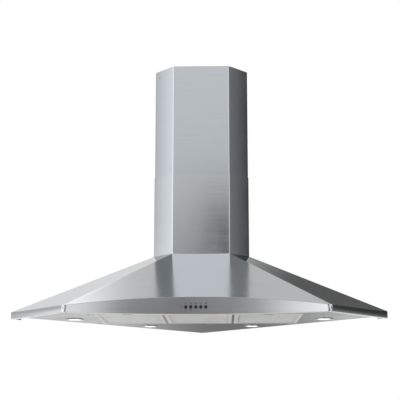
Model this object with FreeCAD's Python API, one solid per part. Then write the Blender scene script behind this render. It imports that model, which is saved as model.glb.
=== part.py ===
import FreeCAD, Part
import math
import os

os.makedirs("parts", exist_ok=True)

# Corner chimney hood, in millimetres. The origin is the line where the two walls meet, at the height of the
# hood's lower edge. +Z is up, the front faces -Y, and the walls run along (1, -1) and (-1, -1).

# Canopy
hood_run = 1000.0          # length along each wall
hood_side = 330.0          # depth of each straight side
skirt_height = 26.4
canopy_height = 320.0      # height of the canopy's flat top
fascia_bow = 84.9          # how far the middle of the fascia stands back
corner_post = 10.0         # flat strip at each end of the fascia
sheet = 1.0                # steel sheet of canopy, chimney and trays
hem = 10.0                 # lip folded in at the lower edges
rear_return = 45.0         # side skirt folded along the wall
top_lip = 14.0             # lip round the canopy's flat top
bend = 2.5                 # outer radius of the folds

# Chimney
chimney_run = 292.0
chimney_side = 120.0
lower_chimney_top = 668.0
chimney_top = 1155.0
chimney_overlap = 48.0     # of the two sections, pulled out
chimney_play = 0.5         # between the two sections
chimney_return = 15.0      # flange along the wall
roof_thickness = 2.0

# Underside
recess = 9.6               # underside panel above the hood's lower edge
tray_rim = 12.0
filter_width = 254.0
filter_height = 10.0
filter_spacing = 7.0       # between two filters
filter_corner = 46.0       # outer filters' rear corners from the walls, along X
filter_front_room = 71.5   # between the filters and the middle of the fascia
filter_side_gap = 1.0
filter_rear_gap = 3.0      # room for the rear edge to turn
filter_front_gap = 1.5
filter_rail = 16.0         # width of the frame's side and rear rails
filter_front_rail = 32.0
filter_skin = 1.2          # wall of the frame's channel
mesh_sheet = 1.2
mesh_grip = 8.0            # how far the frame holds the mesh's edge
mesh_play = 0.2
pleat_count = 24
pin_radius = 2.0
pin_setback = 5.0          # hinge pin from the rear edge
pin_reach = 2.7            # hinge pin out of the frame
pin_seat = 12.0            # hinge pin inside the frame
running_gap = 0.05
ear_length = 14.0
ear_height = 11.0
latch_width = 36.0
latch_depth = 14.0
latch_height = 8.0
latch_travel = 6.0
latch_play = 0.3
bolt_width = 20.0
bolt_height = 2.6
bolt_reach = 1.2           # ends just short of the panel's edge
latch_setback = 4.0        # from the frame's front edge
finger_radius = 9.0
finger_depth = 3.0
fascia_play = 0.4          # between the underside panel and the fascia

# Lamps: distance of each one along the wall, and from it
lamp_along = (378.0, 767.0)
lamp_off = (79.0, 86.0)
lamp_bezel_radius = 35.0
lamp_bezel_height = 2.5
lamp_bezel_round = 1.7
lamp_cup_radius = 28.0
lamp_cup_height = 42.0
lamp_wall = 1.2
lamp_glass_radius = 24.0
lamp_glass_thickness = 2.0
lamp_lip = 1.2             # bezel's lip below the glass
lamp_flare = 3.0           # how far the bezel's mouth widens
lamp_hole_gap = 0.3
bulb_radius = 5.5
bulb_length = 19.0
bulb_tip = 4.9             # rounding of the bulb's end
socket_radius = 9.0
socket_depth = 12.0
clip_root = 14.0           # spring clip's root above the panel
clip_knee = 10.0           # where the clip presses, out from the cup
clip_tip = 13.0
clip_lift = 3.0
clip_width = 8.0
clip_sheet = 1.0

# Controls
button_count = 5
button_pitch = 18.1
button_radius = 6.5
button_length = 16.0
button_proud = 3.0
button_travel = 3.0
button_gap = 0.3
button_dome = 1.0
controls_x = -5.6          # the row stands a little left of the middle
controls_z = 27.7
lens_radius = 1.9
lens_dome = 0.6
lens_offset = 16.0         # from the last button
switch_margin = 12.0
switch_height = 26.0
switch_depth = 34.0
switch_gap = 0.25
plug_size = (24.0, 8.0, 10.0)   # cable plug on the switch block's back

# Fan
fan_y = -238.0
fan_z = 165.0
wheel_radius = 85.0
wheel_half = 60.0
blade_inner = 70.0
blade_count = 28
blade_sweep = 8.0          # degrees from a blade's inner edge to its tip
blade_lean = 1.6           # degrees swept at mid-depth
blade_thickness = 1.1
wheel_disc = 2.0
wheel_ring = 5.0
hub_radius = 13.0
hub_length = 16.0
shaft_radius = 4.0
shaft_chamfer = 0.5
scroll_radius = 100.0      # first arc of the scroll
scroll_step = 14.0         # growth of each quarter turn
tongue_angle = 70.0
housing_half = 70.0
housing_wall = 2.0
housing_flange = 6.0
inlet_radius = 60.0
inlet_lip = 2.0
mount_lip = 10.0           # flange under the roof plate
mount_lip_height = 3.0
fan_screw_inset = 4.5      # from the flange's edge
motor_radius = 47.0
motor_front = 8.0
motor_wall = 6.0
motor_vents = 12
bearing_radius = 11.0
bearing_width = 6.0
bracket_arm = 14.0
bracket_thickness = 2.0
bracket_reach = 72.0
bracket_hub = 30.0
grommet_radius = 6.0

# Outlet
duct_radius = 74.5         # takes a 150 mm duct
collar_wall = 1.5
collar_height = 60.0
collar_flange = 88.0
collar_flange_height = 2.0
damper_height = 21.0       # pin above the roof plate
damper_pin_radius = 1.5
damper_gap = 1.5
damper_sheet = 1.0
knuckle_radius = 3.0
knuckle_length = 28.0
stop_width = 3.5

# Fixings
screw_radius = 2.0
screw_head = 4.0
screw_head_height = 1.8
screw_hole_gap = 0.1
hook_along = 370.0         # middle of a wall hook along its wall
hook_top = 230.0
hook_width = 80.0
hook_drop = 60.0
hook_sheet = 2.0
hook_shelf = 16.0
hook_lip = 8.0
hook_shelf_width = 50.0
hook_hole_radius = 2.75
hook_hole_spacing = 50.0
window_gap = 4.0
bracket_height = 30.0      # chimney wall bracket
bracket_below_top = 15.0
bracket_tab = 30.0
bracket_step = 30.0
bracket_holes = (72.0, 172.0)   # along each wall from the corner
panel_screw_side = 18.0    # beside the outer filters
panel_screw_rear = 6.0     # in front of their rear edge
panel_screw_front = 20.0   # behind their front edge
panel_screw_length = 6.0

# Electrics
control_box_size = (80.0, 75.0, 46.0)
transformer_size = (72.0, 55.0, 36.0)
box_wall = 2.0
foot_reach = 6.0           # transformer's feet
foot_height = 2.0
terminal_size = (40.0, 14.0, 9.0)
cable_hole_radius = 5.0
electrics_x = 88.0         # inner side of both boxes
electrics_rear = 22.0      # gap behind the filters

root2 = math.sqrt(2)
upper_chimney_length = chimney_top - lower_chimney_top + chimney_overlap
roof_z = canopy_height - sheet - roof_thickness
collar_z = canopy_height - sheet
tray_z = recess + sheet
outlet_y = fan_y + (scroll_radius + 2.5 * scroll_step) / 2
fascia_half = (hood_run - hood_side) / root2 - corner_post
fascia_radius = (fascia_half ** 2 + fascia_bow ** 2) / (2 * fascia_bow)
front_y = -(hood_run + hood_side) / root2
fascia_y = front_y + fascia_bow
fascia_centre_y = fascia_y - fascia_radius
filter_pitch = filter_width + filter_spacing
filter_rear = -(filter_pitch + filter_width / 2 + filter_corner)
filter_depth = filter_rear - fascia_y - filter_front_room
slope_rise = canopy_height - skirt_height
front_run = (hood_run + hood_side - chimney_run - chimney_side) / root2
sheet_drop = sheet * math.hypot(slope_rise, front_run) / front_run


def vec(x, y, z=0.0):
    return FreeCAD.Vector(x, y, z)


def plan(run, side, inset=0.0, back=None):
    # Five-sided corner plan: wall lines, two sides square to them, and a front across the corner.
    back = inset if back is None else back
    rear_y = -back * root2
    wall_x = (run - inset - back) / root2
    wall_y = -wall_x - back * root2
    front = -((run + side) / root2 - inset)
    front_x = (run - inset) * root2 + front
    return [(0.0, rear_y), (-wall_x, wall_y), (-front_x, front), (front_x, front), (wall_x, wall_y)]


def outline(points, z):
    return Part.makePolygon([vec(x, y, z) for x, y in points + points[:1]])


def prism(points, z0, z1):
    return Part.Face(outline(points, z0)).extrude(vec(0, 0, z1 - z0))


def box(x0, x1, y0, y1, z0, z1):
    return Part.makeBox(x1 - x0, y1 - y0, z1 - z0, vec(x0, y0, z0))


def rod(radius, start, direction, length):
    return Part.makeCylinder(radius, length, vec(*start), vec(*direction))


def tube(outer, inner, start, direction, length):
    return rod(outer, start, direction, length).cut(rod(inner, start, direction, length))


def wall_box(along0, along1, off0, off1, z0, z1):
    # A block beside the left wall: distances along the wall from the corner, and out from it.
    block = box(along0, along1, off0, off1, z0, z1)
    block.rotate(vec(0, 0), vec(0, 0, 1), 225)
    return block


def wall_point(along, off, z):
    # Along the left wall from the corner, out from it, and up.
    return (-(along - off) / root2, -(along + off) / root2, z)


def mirrored(shape):
    return shape.mirror(vec(0, 0), vec(1, 0))


def both_sides(shape):
    return [shape, mirrored(shape)]


def fascia_drum(offset, z0, z1):
    # The round form that bows the front in, grown by an offset into the hood.
    return rod(fascia_radius + offset, (0, fascia_centre_y, z0), (0, 0, 1), z1 - z0)


def save(name, shape):
    shape.exportStep("parts/" + name + ".step")
    print(name, len(shape.Solids), round(shape.Volume))


def canopy_form(inset, back, drop):
    # The closed form of the canopy, its sides set in and its slopes lowered.
    fold = skirt_height - drop
    top = canopy_height - drop
    slopes = Part.makeLoft(
        [outline(plan(hood_run, hood_side), fold), outline(plan(chimney_run, chimney_side), top)],
        True, True,
    )
    form = slopes.fuse(prism(plan(hood_run, hood_side), -hem, fold)).removeSplitter()
    return form.common(prism(plan(hood_run, hood_side, inset, back), 0, canopy_height))


def make_canopy():
    cap = prism(plan(chimney_run, chimney_side), canopy_height - 2 * sheet, canopy_height)
    shell = canopy_form(0, 0, 0).cut(canopy_form(sheet, 0, sheet_drop)).cut(cap)
    lip = prism(plan(chimney_run, chimney_side), canopy_height - sheet, canopy_height)
    lip = lip.cut(prism(plan(chimney_run, chimney_side, top_lip, 0), 0, canopy_height))
    hem_ring = prism(plan(hood_run, hood_side), 0, sheet)
    hem_ring = hem_ring.cut(prism(plan(hood_run, hood_side, hem, 0), 0, sheet))
    hem_ring = hem_ring.cut(fascia_drum(hem + button_gap, 0, sheet))
    returns = both_sides(wall_box(hood_run - rear_return, hood_run, 0, sheet, 0, skirt_height))
    canopy = shell.cut(fascia_drum(0, -hem, canopy_height))
    return canopy.multiFuse([lip, hem_ring] + returns).removeSplitter()


def make_fascia():
    ring = fascia_drum(sheet, 0, canopy_height).cut(fascia_drum(0, 0, canopy_height))
    lip = fascia_drum(hem, 0, sheet).cut(fascia_drum(0, 0, sheet))
    half = fascia_half - 3 * sheet
    zone = box(-half, half, front_y - sheet, fascia_y + hem + sheet, 0, canopy_height)
    strip = ring.fuse(lip).common(zone).common(canopy_form(0, 0, sheet_drop))
    for x in button_places():
        strip = strip.cut(rod(button_radius + button_gap, (x, fascia_y - hem, controls_z), (0, 1, 0), 2 * hem))
    return strip.cut(rod(lens_radius + running_gap, (lens_x(), fascia_y - hem, controls_z), (0, 1, 0), 2 * hem))


def button_places():
    first = controls_x - button_pitch * (button_count - 1) / 2
    return [first + button_pitch * number for number in range(button_count)]


def lens_x():
    return button_places()[0] - lens_offset


def switch_ends():
    return lens_x() - switch_margin, button_places()[-1] + switch_margin


def filter_centres():
    return {"left": -filter_pitch, "centre": 0.0, "right": filter_pitch}


def lamp_places():
    left = [wall_point(along, off, recess) for along, off in zip(lamp_along, lamp_off)]
    right = [(-x, y, z) for x, y, z in left]
    return left + right


def panel_screw_places():
    side_x = filter_pitch + filter_width / 2 + filter_side_gap + panel_screw_side
    front = filter_rear - filter_depth + panel_screw_front
    return [(sign * side_x, y) for sign in (-1, 1) for y in (filter_rear - panel_screw_rear, front)]


def make_underside_panel():
    fascia_room = sheet + fascia_play
    tray = prism(plan(hood_run, hood_side, sheet), recess, recess + tray_rim)
    tray = tray.cut(fascia_drum(fascia_room, recess, recess + tray_rim))
    hollow = prism(plan(hood_run, hood_side, 2 * sheet), tray_z, recess + tray_rim)
    hollow = hollow.cut(fascia_drum(fascia_room + sheet, recess, recess + tray_rim))
    tray = tray.cut(hollow)
    half = filter_width / 2 + filter_side_gap
    front = filter_rear - filter_depth - filter_front_gap
    cuts = []
    ears = []
    for x in filter_centres().values():
        cuts.append(box(x - half, x + half, front, filter_rear + filter_rear_gap, recess, tray_z))
        for sign in (-1, 1):
            ears.append(make_ear(x + sign * (half + sheet / 2)))
    for x, y, z in lamp_places():
        cuts.append(rod(lamp_cup_radius + lamp_hole_gap, (x, y, recess), (0, 0, 1), sheet))
    for x, y in panel_screw_places():
        cuts.append(rod(screw_radius + screw_hole_gap, (x, y, recess), (0, 0, 1), sheet))
    x0, x1 = switch_ends()
    cuts.append(box(x0 - window_gap, x1 + window_gap, front_y, fascia_y + hem, tray_z, recess + tray_rim))
    return tray.cut(Part.makeCompound(cuts)).multiFuse(ears).removeSplitter()


def make_ear(x):
    # Upright tab of the panel that holds one end of a filter's hinge pin.
    pin_y = filter_rear - pin_setback
    pin_z = recess + filter_height / 2
    ear = box(x - sheet / 2, x + sheet / 2, pin_y - ear_length / 2, pin_y + ear_length / 2,
              recess, recess + ear_height)
    return ear.cut(rod(pin_radius + running_gap, (x - sheet, pin_y, pin_z), (1, 0, 0), 2 * sheet))


def make_back_panel():
    panel = wall_box(sheet + running_gap, hood_run - sheet, 0, sheet, recess, roof_z)
    panel = panel.common(canopy_form(sheet, 0, sheet_drop))
    corner = wall_box(hood_run - rear_return - window_gap, hood_run, 0, sheet, 0, skirt_height + sheet)
    half = hook_width / 2 + window_gap
    window = wall_box(hook_along - half, hook_along + half, 0, sheet, hook_top - hook_drop - window_gap, hook_top)
    return panel.cut(corner).cut(window)


def make_wall_hook():
    half = hook_width / 2
    plate = wall_box(hook_along - half, hook_along + half, 0, hook_sheet, hook_top - hook_drop, hook_top)
    plate = plate.cut(wall_box(hook_along - half, hook_along - hook_shelf_width / 2, 0, hook_sheet,
                               hook_top - hook_sheet, hook_top))
    plate = plate.cut(wall_box(hook_along + hook_shelf_width / 2, hook_along + half, 0, hook_sheet,
                               hook_top - hook_sheet, hook_top))
    reach = hook_shelf_width / 2
    shelf = wall_box(hook_along - reach, hook_along + reach, 0, hook_shelf, hook_top - hook_sheet, hook_top)
    lip = wall_box(hook_along - reach, hook_along + reach, hook_shelf - hook_sheet, hook_shelf,
                   hook_top - hook_sheet, hook_top + hook_lip)
    hook = plate.multiFuse([shelf, lip])
    middle_z = hook_top - hook_drop / 2
    for sign in (-1, 1):
        start = wall_point(hook_along + sign * hook_hole_spacing / 2, -hook_sheet, middle_z)
        hook = hook.cut(rod(hook_hole_radius, start, (1, -1, 0), 3 * hook_sheet))
    return hook.removeSplitter()


def make_roof_plate():
    plate = prism(plan(chimney_run, chimney_side, sheet), roof_z, roof_z + roof_thickness)
    plate = plate.cut(rod(duct_radius - 2 * collar_wall, (0, outlet_y, roof_z), (0, 0, 1), roof_thickness))
    for x, y in fan_screw_places() + collar_screw_places():
        plate = plate.cut(rod(screw_radius + screw_hole_gap, (x, y, roof_z), (0, 0, 1), roof_thickness))
    return plate


def chimney_form(inset, back, z0, z1):
    form = prism(plan(chimney_run, chimney_side, inset, back), z0, z1)
    front = [edge for edge in form.Edges if upright(edge) and edge.CenterOfMass.y < -chimney_run / root2 + sheet]
    return form.makeFillet(max(bend - inset, sheet / 2), front)


def upright(edge):
    start, end = edge.Vertexes[0].Point, edge.Vertexes[-1].Point
    return abs(end.x - start.x) + abs(end.y - start.y) < 1e-6


def make_chimney(inset, back, z0, z1):
    shell = chimney_form(inset, back, z0, z1).cut(chimney_form(inset + sheet, back, z0, z1))
    end = chimney_run - inset
    flange = wall_box(end - chimney_return, end - sheet / 2, back, back + sheet, z0, z1)
    return shell.multiFuse(both_sides(flange)).removeSplitter()


def upper_inset():
    return sheet + chimney_play


def make_upper_chimney():
    inset = upper_inset()
    section = make_chimney(inset, inset, chimney_top - upper_chimney_length, chimney_top)
    for start, direction in chimney_screw_places():
        section = section.cut(rod(screw_radius + screw_hole_gap, start, direction, 2 * sheet))
    return section


def chimney_screw_places():
    # On the two side faces, level with the wall bracket.
    z = chimney_top - bracket_below_top - bracket_height / 2
    face = chimney_run - upper_inset()
    x, y, z = wall_point(face, bracket_step, z)
    return [((x, y, z), (1, 1, 0)), ((-x, y, z), (-1, 1, 0))]


def make_chimney_screws():
    screws = []
    for (x, y, z), (dx, dy, dz) in chimney_screw_places():
        screws.append(make_screw((x, y, z), (dx, dy, dz), sheet))
    return Part.makeCompound(screws)


def make_screw(place, direction, length):
    # Pan head outside the surface, shank into it.
    axis = vec(*direction).normalize()
    back = vec(*place) - axis * screw_head_height
    head = Part.makeCylinder(screw_head, screw_head_height, back, axis)
    rim = [edge for edge in head.Edges if isinstance(edge.Curve, Part.Circle)
           and (edge.CenterOfMass - back).Length < 1e-6]
    head = head.makeFillet(screw_head_height / 2, rim)
    return head.fuse(Part.makeCylinder(screw_radius, length, vec(*place), axis))


def make_chimney_bracket():
    z1 = chimney_top - bracket_below_top
    z0 = z1 - bracket_height
    inner = chimney_run - upper_inset() - sheet - latch_play
    flange_inside = upper_inset() + sheet + latch_play
    wing = wall_box(0, inner - bracket_step, 0, flange_inside, z0, z1)
    wing = wing.cut(wall_box(hook_sheet, inner - bracket_step - hook_sheet, hook_sheet, 2 * flange_inside, z0, z1))
    step = wall_box(inner - bracket_step - hook_sheet, inner, flange_inside, flange_inside + hook_sheet, z0, z1)
    tab = wall_box(inner - hook_sheet, inner, flange_inside, flange_inside + bracket_tab, z0, z1)
    wing = wing.multiFuse([step, tab])
    for along in bracket_holes:
        start = wall_point(along, -hook_sheet, (z0 + z1) / 2)
        wing = wing.cut(rod(hook_hole_radius, start, (1, -1, 0), 3 * hook_sheet))
    return wing.fuse(mirrored(wing)).removeSplitter()


def scroll_point(centre, radius, angle):
    turn = math.radians(angle)
    return vec(0, centre[0] + radius * math.cos(turn), centre[1] + radius * math.sin(turn))


def scroll_face(x):
    # Air space of the fan housing in the YZ plane: three quarter arcs, each wider than the last, and the outlet.
    s = scroll_step / 2
    centres = [(fan_y - s, fan_z - s), (fan_y + s, fan_z - s), (fan_y + s, fan_z + s)]
    edges = []
    start_angle = tongue_angle
    for number, centre in enumerate(centres):
        radius = scroll_radius + number * scroll_step
        end_angle = 180 + 90 * number
        middle = (start_angle + end_angle) / 2
        points = [scroll_point(centre, radius, angle) for angle in (start_angle, middle, end_angle)]
        edges.append(Part.Arc(*points).toShape())
        start_angle = end_angle
    tongue = scroll_point(centres[0], scroll_radius, tongue_angle)
    rear = points[2]
    corners = [rear, vec(0, rear.y, roof_z), vec(0, fan_y, roof_z), tongue]
    for start, end in zip(corners, corners[1:]):
        edges.append(Part.LineSegment(start, end).toShape())
    face = Part.Face(Part.Wire(edges))
    face.translate(vec(x, 0))
    return face


def scroll_prism(grow, x0, x1):
    face = scroll_face(x0)
    if grow:
        face = face.makeOffset2D(grow)
    solid = face.extrude(vec(x1 - x0, 0))
    return solid.common(box(x0, x1, front_y, 0, 0, roof_z))


def outlet_rear():
    return fan_y + scroll_radius + 2 * scroll_step + scroll_step / 2


def fan_screw_places():
    reach = mount_lip - fan_screw_inset
    x = housing_half + housing_wall + reach
    return [(sign * x, y) for sign in (-1, 1) for y in (fan_y - housing_wall - reach, outlet_rear() + reach)]


def make_fan_housing():
    # Right half: side wall with the inlet, scroll wall, joint flange, and flange under the roof plate.
    outside = housing_half + housing_wall
    half = scroll_prism(housing_wall, 0, outside)
    flange = scroll_prism(housing_wall + housing_flange, 0, housing_wall)
    lip_box = box(0, outside + mount_lip, fan_y - housing_wall - mount_lip, outlet_rear() + mount_lip,
                  roof_z - mount_lip_height, roof_z)
    inlet = rod(inlet_radius + inlet_lip, (outside, fan_y, fan_z), (1, 0, 0), inlet_lip)
    half = half.multiFuse([flange, lip_box, inlet]).cut(scroll_prism(0, 0, housing_half))
    half = half.cut(rod(inlet_radius, (0, fan_y, fan_z), (1, 0, 0), 2 * outside))
    for x, y in fan_screw_places():
        half = half.cut(rod(screw_radius + screw_hole_gap, (x, y, 0), (0, 0, 1), canopy_height))
    return half.removeSplitter()


def make_wheel():
    # Double inlet wheel: a disc in the middle, and a cage of curved blades on each side of it.
    disc = rod(wheel_radius, (-wheel_disc / 2, fan_y, fan_z), (1, 0, 0), wheel_disc)
    hub = rod(hub_radius, (-wheel_disc / 2 - hub_length, fan_y, fan_z), (1, 0, 0), hub_length)
    rings = []
    for x in (-wheel_half, wheel_half - wheel_disc):
        rings.append(tube(wheel_radius, wheel_radius - wheel_ring, (x, fan_y, fan_z), (1, 0, 0), wheel_disc))
    blades = []
    for number in range(blade_count):
        blade = make_blade()
        blade.rotate(vec(0, fan_y, fan_z), vec(1, 0), 360.0 * number / blade_count)
        blades.append(blade)
    wheel = disc.multiFuse([hub] + rings + blades)
    bore = rod(shaft_radius + running_gap, (-wheel_half, fan_y, fan_z), (1, 0, 0), 2 * wheel_half)
    return wheel.cut(bore).removeSplitter()


def make_blade():
    # Forward curved: the tip leads, and the hollow side faces the way it turns.
    tip = wheel_radius - wheel_disc / 2
    lag = math.degrees(blade_thickness / tip)

    def curve(turn):
        angles = (turn, turn + blade_lean, turn + blade_sweep)
        radii = (blade_inner, (blade_inner + tip) / 2, tip)
        places = [(r, math.radians(a)) for r, a in zip(radii, angles)]
        return [vec(-wheel_half, fan_y + r * math.cos(a), fan_z + r * math.sin(a)) for r, a in places]

    front, rear = curve(0), curve(-lag)
    edges = [
        Part.Arc(*front).toShape(),
        Part.LineSegment(front[2], rear[2]).toShape(),
        Part.Arc(*rear[::-1]).toShape(),
        Part.LineSegment(rear[0], front[0]).toShape(),
    ]
    return Part.Face(Part.Wire(edges)).extrude(vec(2 * wheel_half, 0))


def motor_rear():
    return housing_half + housing_wall + inlet_lip


def make_motor():
    length = motor_rear() - motor_front
    body = rod(motor_radius, (motor_front, fan_y, fan_z), (1, 0, 0), length)
    edges = [edge for edge in body.Edges if isinstance(edge.Curve, Part.Circle)
             and edge.CenterOfMass.x < motor_front + motor_wall]
    body = body.makeFillet(motor_wall, edges)
    body = body.cut(rod(shaft_radius + sheet, (motor_front, fan_y, fan_z), (1, 0, 0), length - motor_wall))
    for x in bearing_places():
        body = body.cut(rod(bearing_radius + running_gap, (x, fan_y, fan_z), (1, 0, 0), bearing_width))
    for number in range(motor_vents):
        vent = box(motor_front + 2 * motor_wall, motor_rear() - 2 * motor_wall, fan_y - motor_wall / 2,
                   fan_y + motor_wall / 2, fan_z + motor_radius - motor_wall, fan_z + motor_radius + 1)
        vent.rotate(vec(0, fan_y, fan_z), vec(1, 0), 360.0 * number / motor_vents)
        body = body.cut(vent)
    return body


def bearing_places():
    return [motor_front, motor_rear() - motor_wall - bearing_width]


def make_bearings():
    rings = []
    for x in bearing_places():
        rings.append(tube(bearing_radius, shaft_radius + running_gap, (x, fan_y, fan_z), (1, 0, 0), bearing_width))
    return Part.makeCompound(rings)


def make_shaft():
    start = -wheel_disc / 2 - hub_length
    shaft = rod(shaft_radius, (start, fan_y, fan_z), (1, 0, 0), motor_rear() - motor_wall - sheet - start)
    ends = [edge for edge in shaft.Edges if isinstance(edge.Curve, Part.Circle)]
    return shaft.makeChamfer(shaft_chamfer, ends)


def bracket_feet():
    places = []
    for number in range(3):
        angle = math.radians(90 + 120 * number)
        places.append((fan_y + bracket_reach * math.cos(angle), fan_z + bracket_reach * math.sin(angle)))
    return places


def make_motor_bracket():
    x = motor_rear()
    hub = rod(bracket_hub, (x, fan_y, fan_z), (1, 0, 0), bracket_thickness)
    arms = []
    for number in range(3):
        arm = box(x, x + bracket_thickness, fan_y - bracket_arm / 2, fan_y + bracket_arm / 2,
                  fan_z, fan_z + bracket_reach)
        arm.rotate(vec(0, fan_y, fan_z), vec(1, 0), 120.0 * number)
        arms.append(arm)
    for y, z in bracket_feet():
        arms.append(rod(bracket_arm / 2, (x, y, z), (1, 0, 0), bracket_thickness))
    spider = hub.multiFuse(arms)
    for y, z in bracket_feet():
        spider = spider.cut(rod(screw_radius, (x, y, z), (1, 0, 0), bracket_thickness))
    return spider.removeSplitter()


def make_grommets():
    start = housing_half + housing_wall
    rings = [tube(grommet_radius, screw_radius, (start, y, z), (1, 0, 0), inlet_lip) for y, z in bracket_feet()]
    return Part.makeCompound(rings)


def collar_screw_places():
    reach = (duct_radius + collar_flange) / 2
    turns = [math.radians(angle) for angle in (45, 135, 225, 315)]
    return [(reach * math.cos(a), outlet_y + reach * math.sin(a)) for a in turns]


def damper_z():
    return collar_z + damper_height


def make_collar():
    start = (0, outlet_y, collar_z)
    flange = rod(collar_flange, start, (0, 0, 1), collar_flange_height)
    bore = duct_radius - collar_wall
    collar = flange.fuse(rod(duct_radius, start, (0, 0, 1), collar_height))
    stop_z = damper_z() - damper_sheet / 2 - latch_play
    narrow = rod(bore - stop_width, start, (0, 0, 1), collar_height)
    wide_low = rod(bore, start, (0, 0, 1), stop_z - collar_z - 2 * damper_sheet)
    wide_high = rod(bore, (0, outlet_y, stop_z), (0, 0, 1), collar_height)
    collar = collar.cut(narrow).cut(wide_low).cut(wide_high)
    pin_hole = rod(damper_pin_radius + running_gap, (-2 * duct_radius, outlet_y, damper_z()), (1, 0, 0),
                   4 * duct_radius)
    collar = collar.cut(pin_hole)
    for x, y in collar_screw_places():
        collar = collar.cut(rod(screw_radius + screw_hole_gap, (x, y, collar_z), (0, 0, 1), collar_flange_height))
    return collar.removeSplitter()


def make_damper_pin():
    half = duct_radius - running_gap
    return rod(damper_pin_radius, (-half, outlet_y, damper_z()), (1, 0, 0), 2 * half)


def make_flap(side):
    # Half disc on one side of the pin. The knuckles of the two flaps take turns along it.
    radius = duct_radius - collar_wall - damper_gap
    clear = knuckle_radius + latch_play
    z = damper_z()
    disc = rod(radius, (0, outlet_y, z - damper_sheet / 2), (0, 0, 1), damper_sheet)
    if side < 0:
        keep = box(-radius, radius, outlet_y - radius, outlet_y - clear, 0, 2 * z)
        starts = (-2 * knuckle_length, 0.0)
    else:
        keep = box(-radius, radius, outlet_y + clear, outlet_y + radius, 0, 2 * z)
        starts = (-knuckle_length, knuckle_length)
    flap = disc.common(keep)
    knuckles = []
    for start in starts:
        x0, x1 = start + latch_play, start + knuckle_length - latch_play
        knuckles.append(rod(knuckle_radius, (x0, outlet_y, z), (1, 0, 0), x1 - x0))
        y0, y1 = sorted((outlet_y, outlet_y + side * 2 * clear))
        knuckles.append(box(x0, x1, y0, y1, z - damper_sheet / 2, z + damper_sheet / 2))
    flap = flap.multiFuse(knuckles)
    bore = rod(damper_pin_radius + running_gap, (-radius, outlet_y, z), (1, 0, 0), 2 * radius)
    return flap.cut(bore).removeSplitter()


def make_fan_screws():
    screws = [make_screw((x, y, collar_z), (0, 0, -1), roof_thickness + mount_lip_height)
              for x, y in fan_screw_places()]
    for x, y in collar_screw_places():
        screws.append(make_screw((x, y, collar_z + collar_flange_height), (0, 0, -1),
                                 collar_flange_height + roof_thickness))
    return Part.makeCompound(screws)


def make_filter_frame(x):
    half = filter_width / 2
    front = filter_rear - filter_depth
    z0, z1 = recess, recess + filter_height
    frame = box(x - half, x + half, front, filter_rear, z0, z1)
    inner = half - filter_rail
    window = box(x - inner, x + inner, front + filter_front_rail, filter_rear - filter_rail, z0, z1)
    groove = box(x - half + filter_skin, x + half - filter_skin, mesh_front(),
                 filter_rear - filter_rail + mesh_grip, z0 + filter_skin, z1 - filter_skin)
    pocket_half = latch_width / 2 + latch_play
    pocket_front = latch_front() - latch_play
    pocket = box(x - pocket_half, x + pocket_half, pocket_front,
                 mesh_front() - filter_skin, z0, z1)
    slot_z = bolt_bottom() - latch_play
    slot = box(x - bolt_width / 2 - latch_play, x + bolt_width / 2 + latch_play, front, pocket_front,
               slot_z, slot_z + bolt_height + 2 * latch_play)
    frame = frame.cut(Part.makeCompound([window, groove])).cut(pocket).cut(slot)
    upright_edges = [edge for edge in frame.Edges if upright(edge)
                     and abs(abs(edge.CenterOfMass.x - x) - half) < 1e-3]
    frame = frame.makeFillet(bend, upright_edges)
    pin_z = recess + filter_height / 2
    for sign in (-1, 1):
        start = (x + sign * half, filter_rear - pin_setback, pin_z)
        frame = frame.cut(rod(pin_radius + running_gap, start, (-sign, 0, 0), pin_seat))
    return frame.removeSplitter()


def latch_front():
    return filter_rear - filter_depth + latch_setback


def mesh_front():
    # Just behind the latch at the end of its travel.
    return latch_front() + latch_depth + latch_travel + latch_play + filter_skin


def bolt_bottom():
    return tray_z + 2 * latch_play


def make_filter_mesh(x):
    # Pleated mesh pack, its edges held in the frame's channel.
    half = filter_width / 2 - filter_rail + mesh_grip - mesh_play
    y0 = mesh_front() + mesh_play
    y1 = filter_rear - filter_rail + mesh_grip - mesh_play
    low = recess + filter_skin + mesh_play
    fold = filter_height - 2 * filter_skin - 2 * mesh_play - 2 * mesh_sheet
    step = 2 * half / pleat_count
    lower = [vec(-half, y0, low)]
    for number in range(pleat_count):
        left = -half + number * step
        lower += [vec(left + step / 2, y0, low + fold), vec(left + step, y0, low)]
    upper = [point + vec(0, 0, 2 * mesh_sheet) for point in lower]
    section = Part.makePolygon(lower + upper[::-1] + lower[:1])
    mesh = Part.Face(section).extrude(vec(0, y1 - y0))
    mesh.translate(vec(x, 0))
    return mesh


def make_filter_pins(x):
    pins = []
    for sign in (-1, 1):
        start = (x + sign * (filter_width / 2 - pin_seat + running_gap), filter_rear - pin_setback,
                 recess + filter_height / 2)
        pins.append(rod(pin_radius, start, (sign, 0, 0), pin_seat + pin_reach - running_gap))
    return Part.makeCompound(pins)


def make_filter_latch(x):
    front = latch_front()
    z0 = recess + latch_play
    half = latch_width / 2
    slider = box(x - half, x + half, front, front + latch_depth, z0, z0 + latch_height)
    bolt = box(x - bolt_width / 2, x + bolt_width / 2, filter_rear - filter_depth - bolt_reach,
               front + finger_depth, bolt_bottom(), bolt_bottom() + bolt_height)
    scoop = rod(finger_radius, (x - half + finger_depth, front + latch_depth / 2, z0 - finger_radius + finger_depth),
                (1, 0, 0), latch_width - 2 * finger_depth)
    return slider.fuse(bolt).cut(scoop).removeSplitter()


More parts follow.
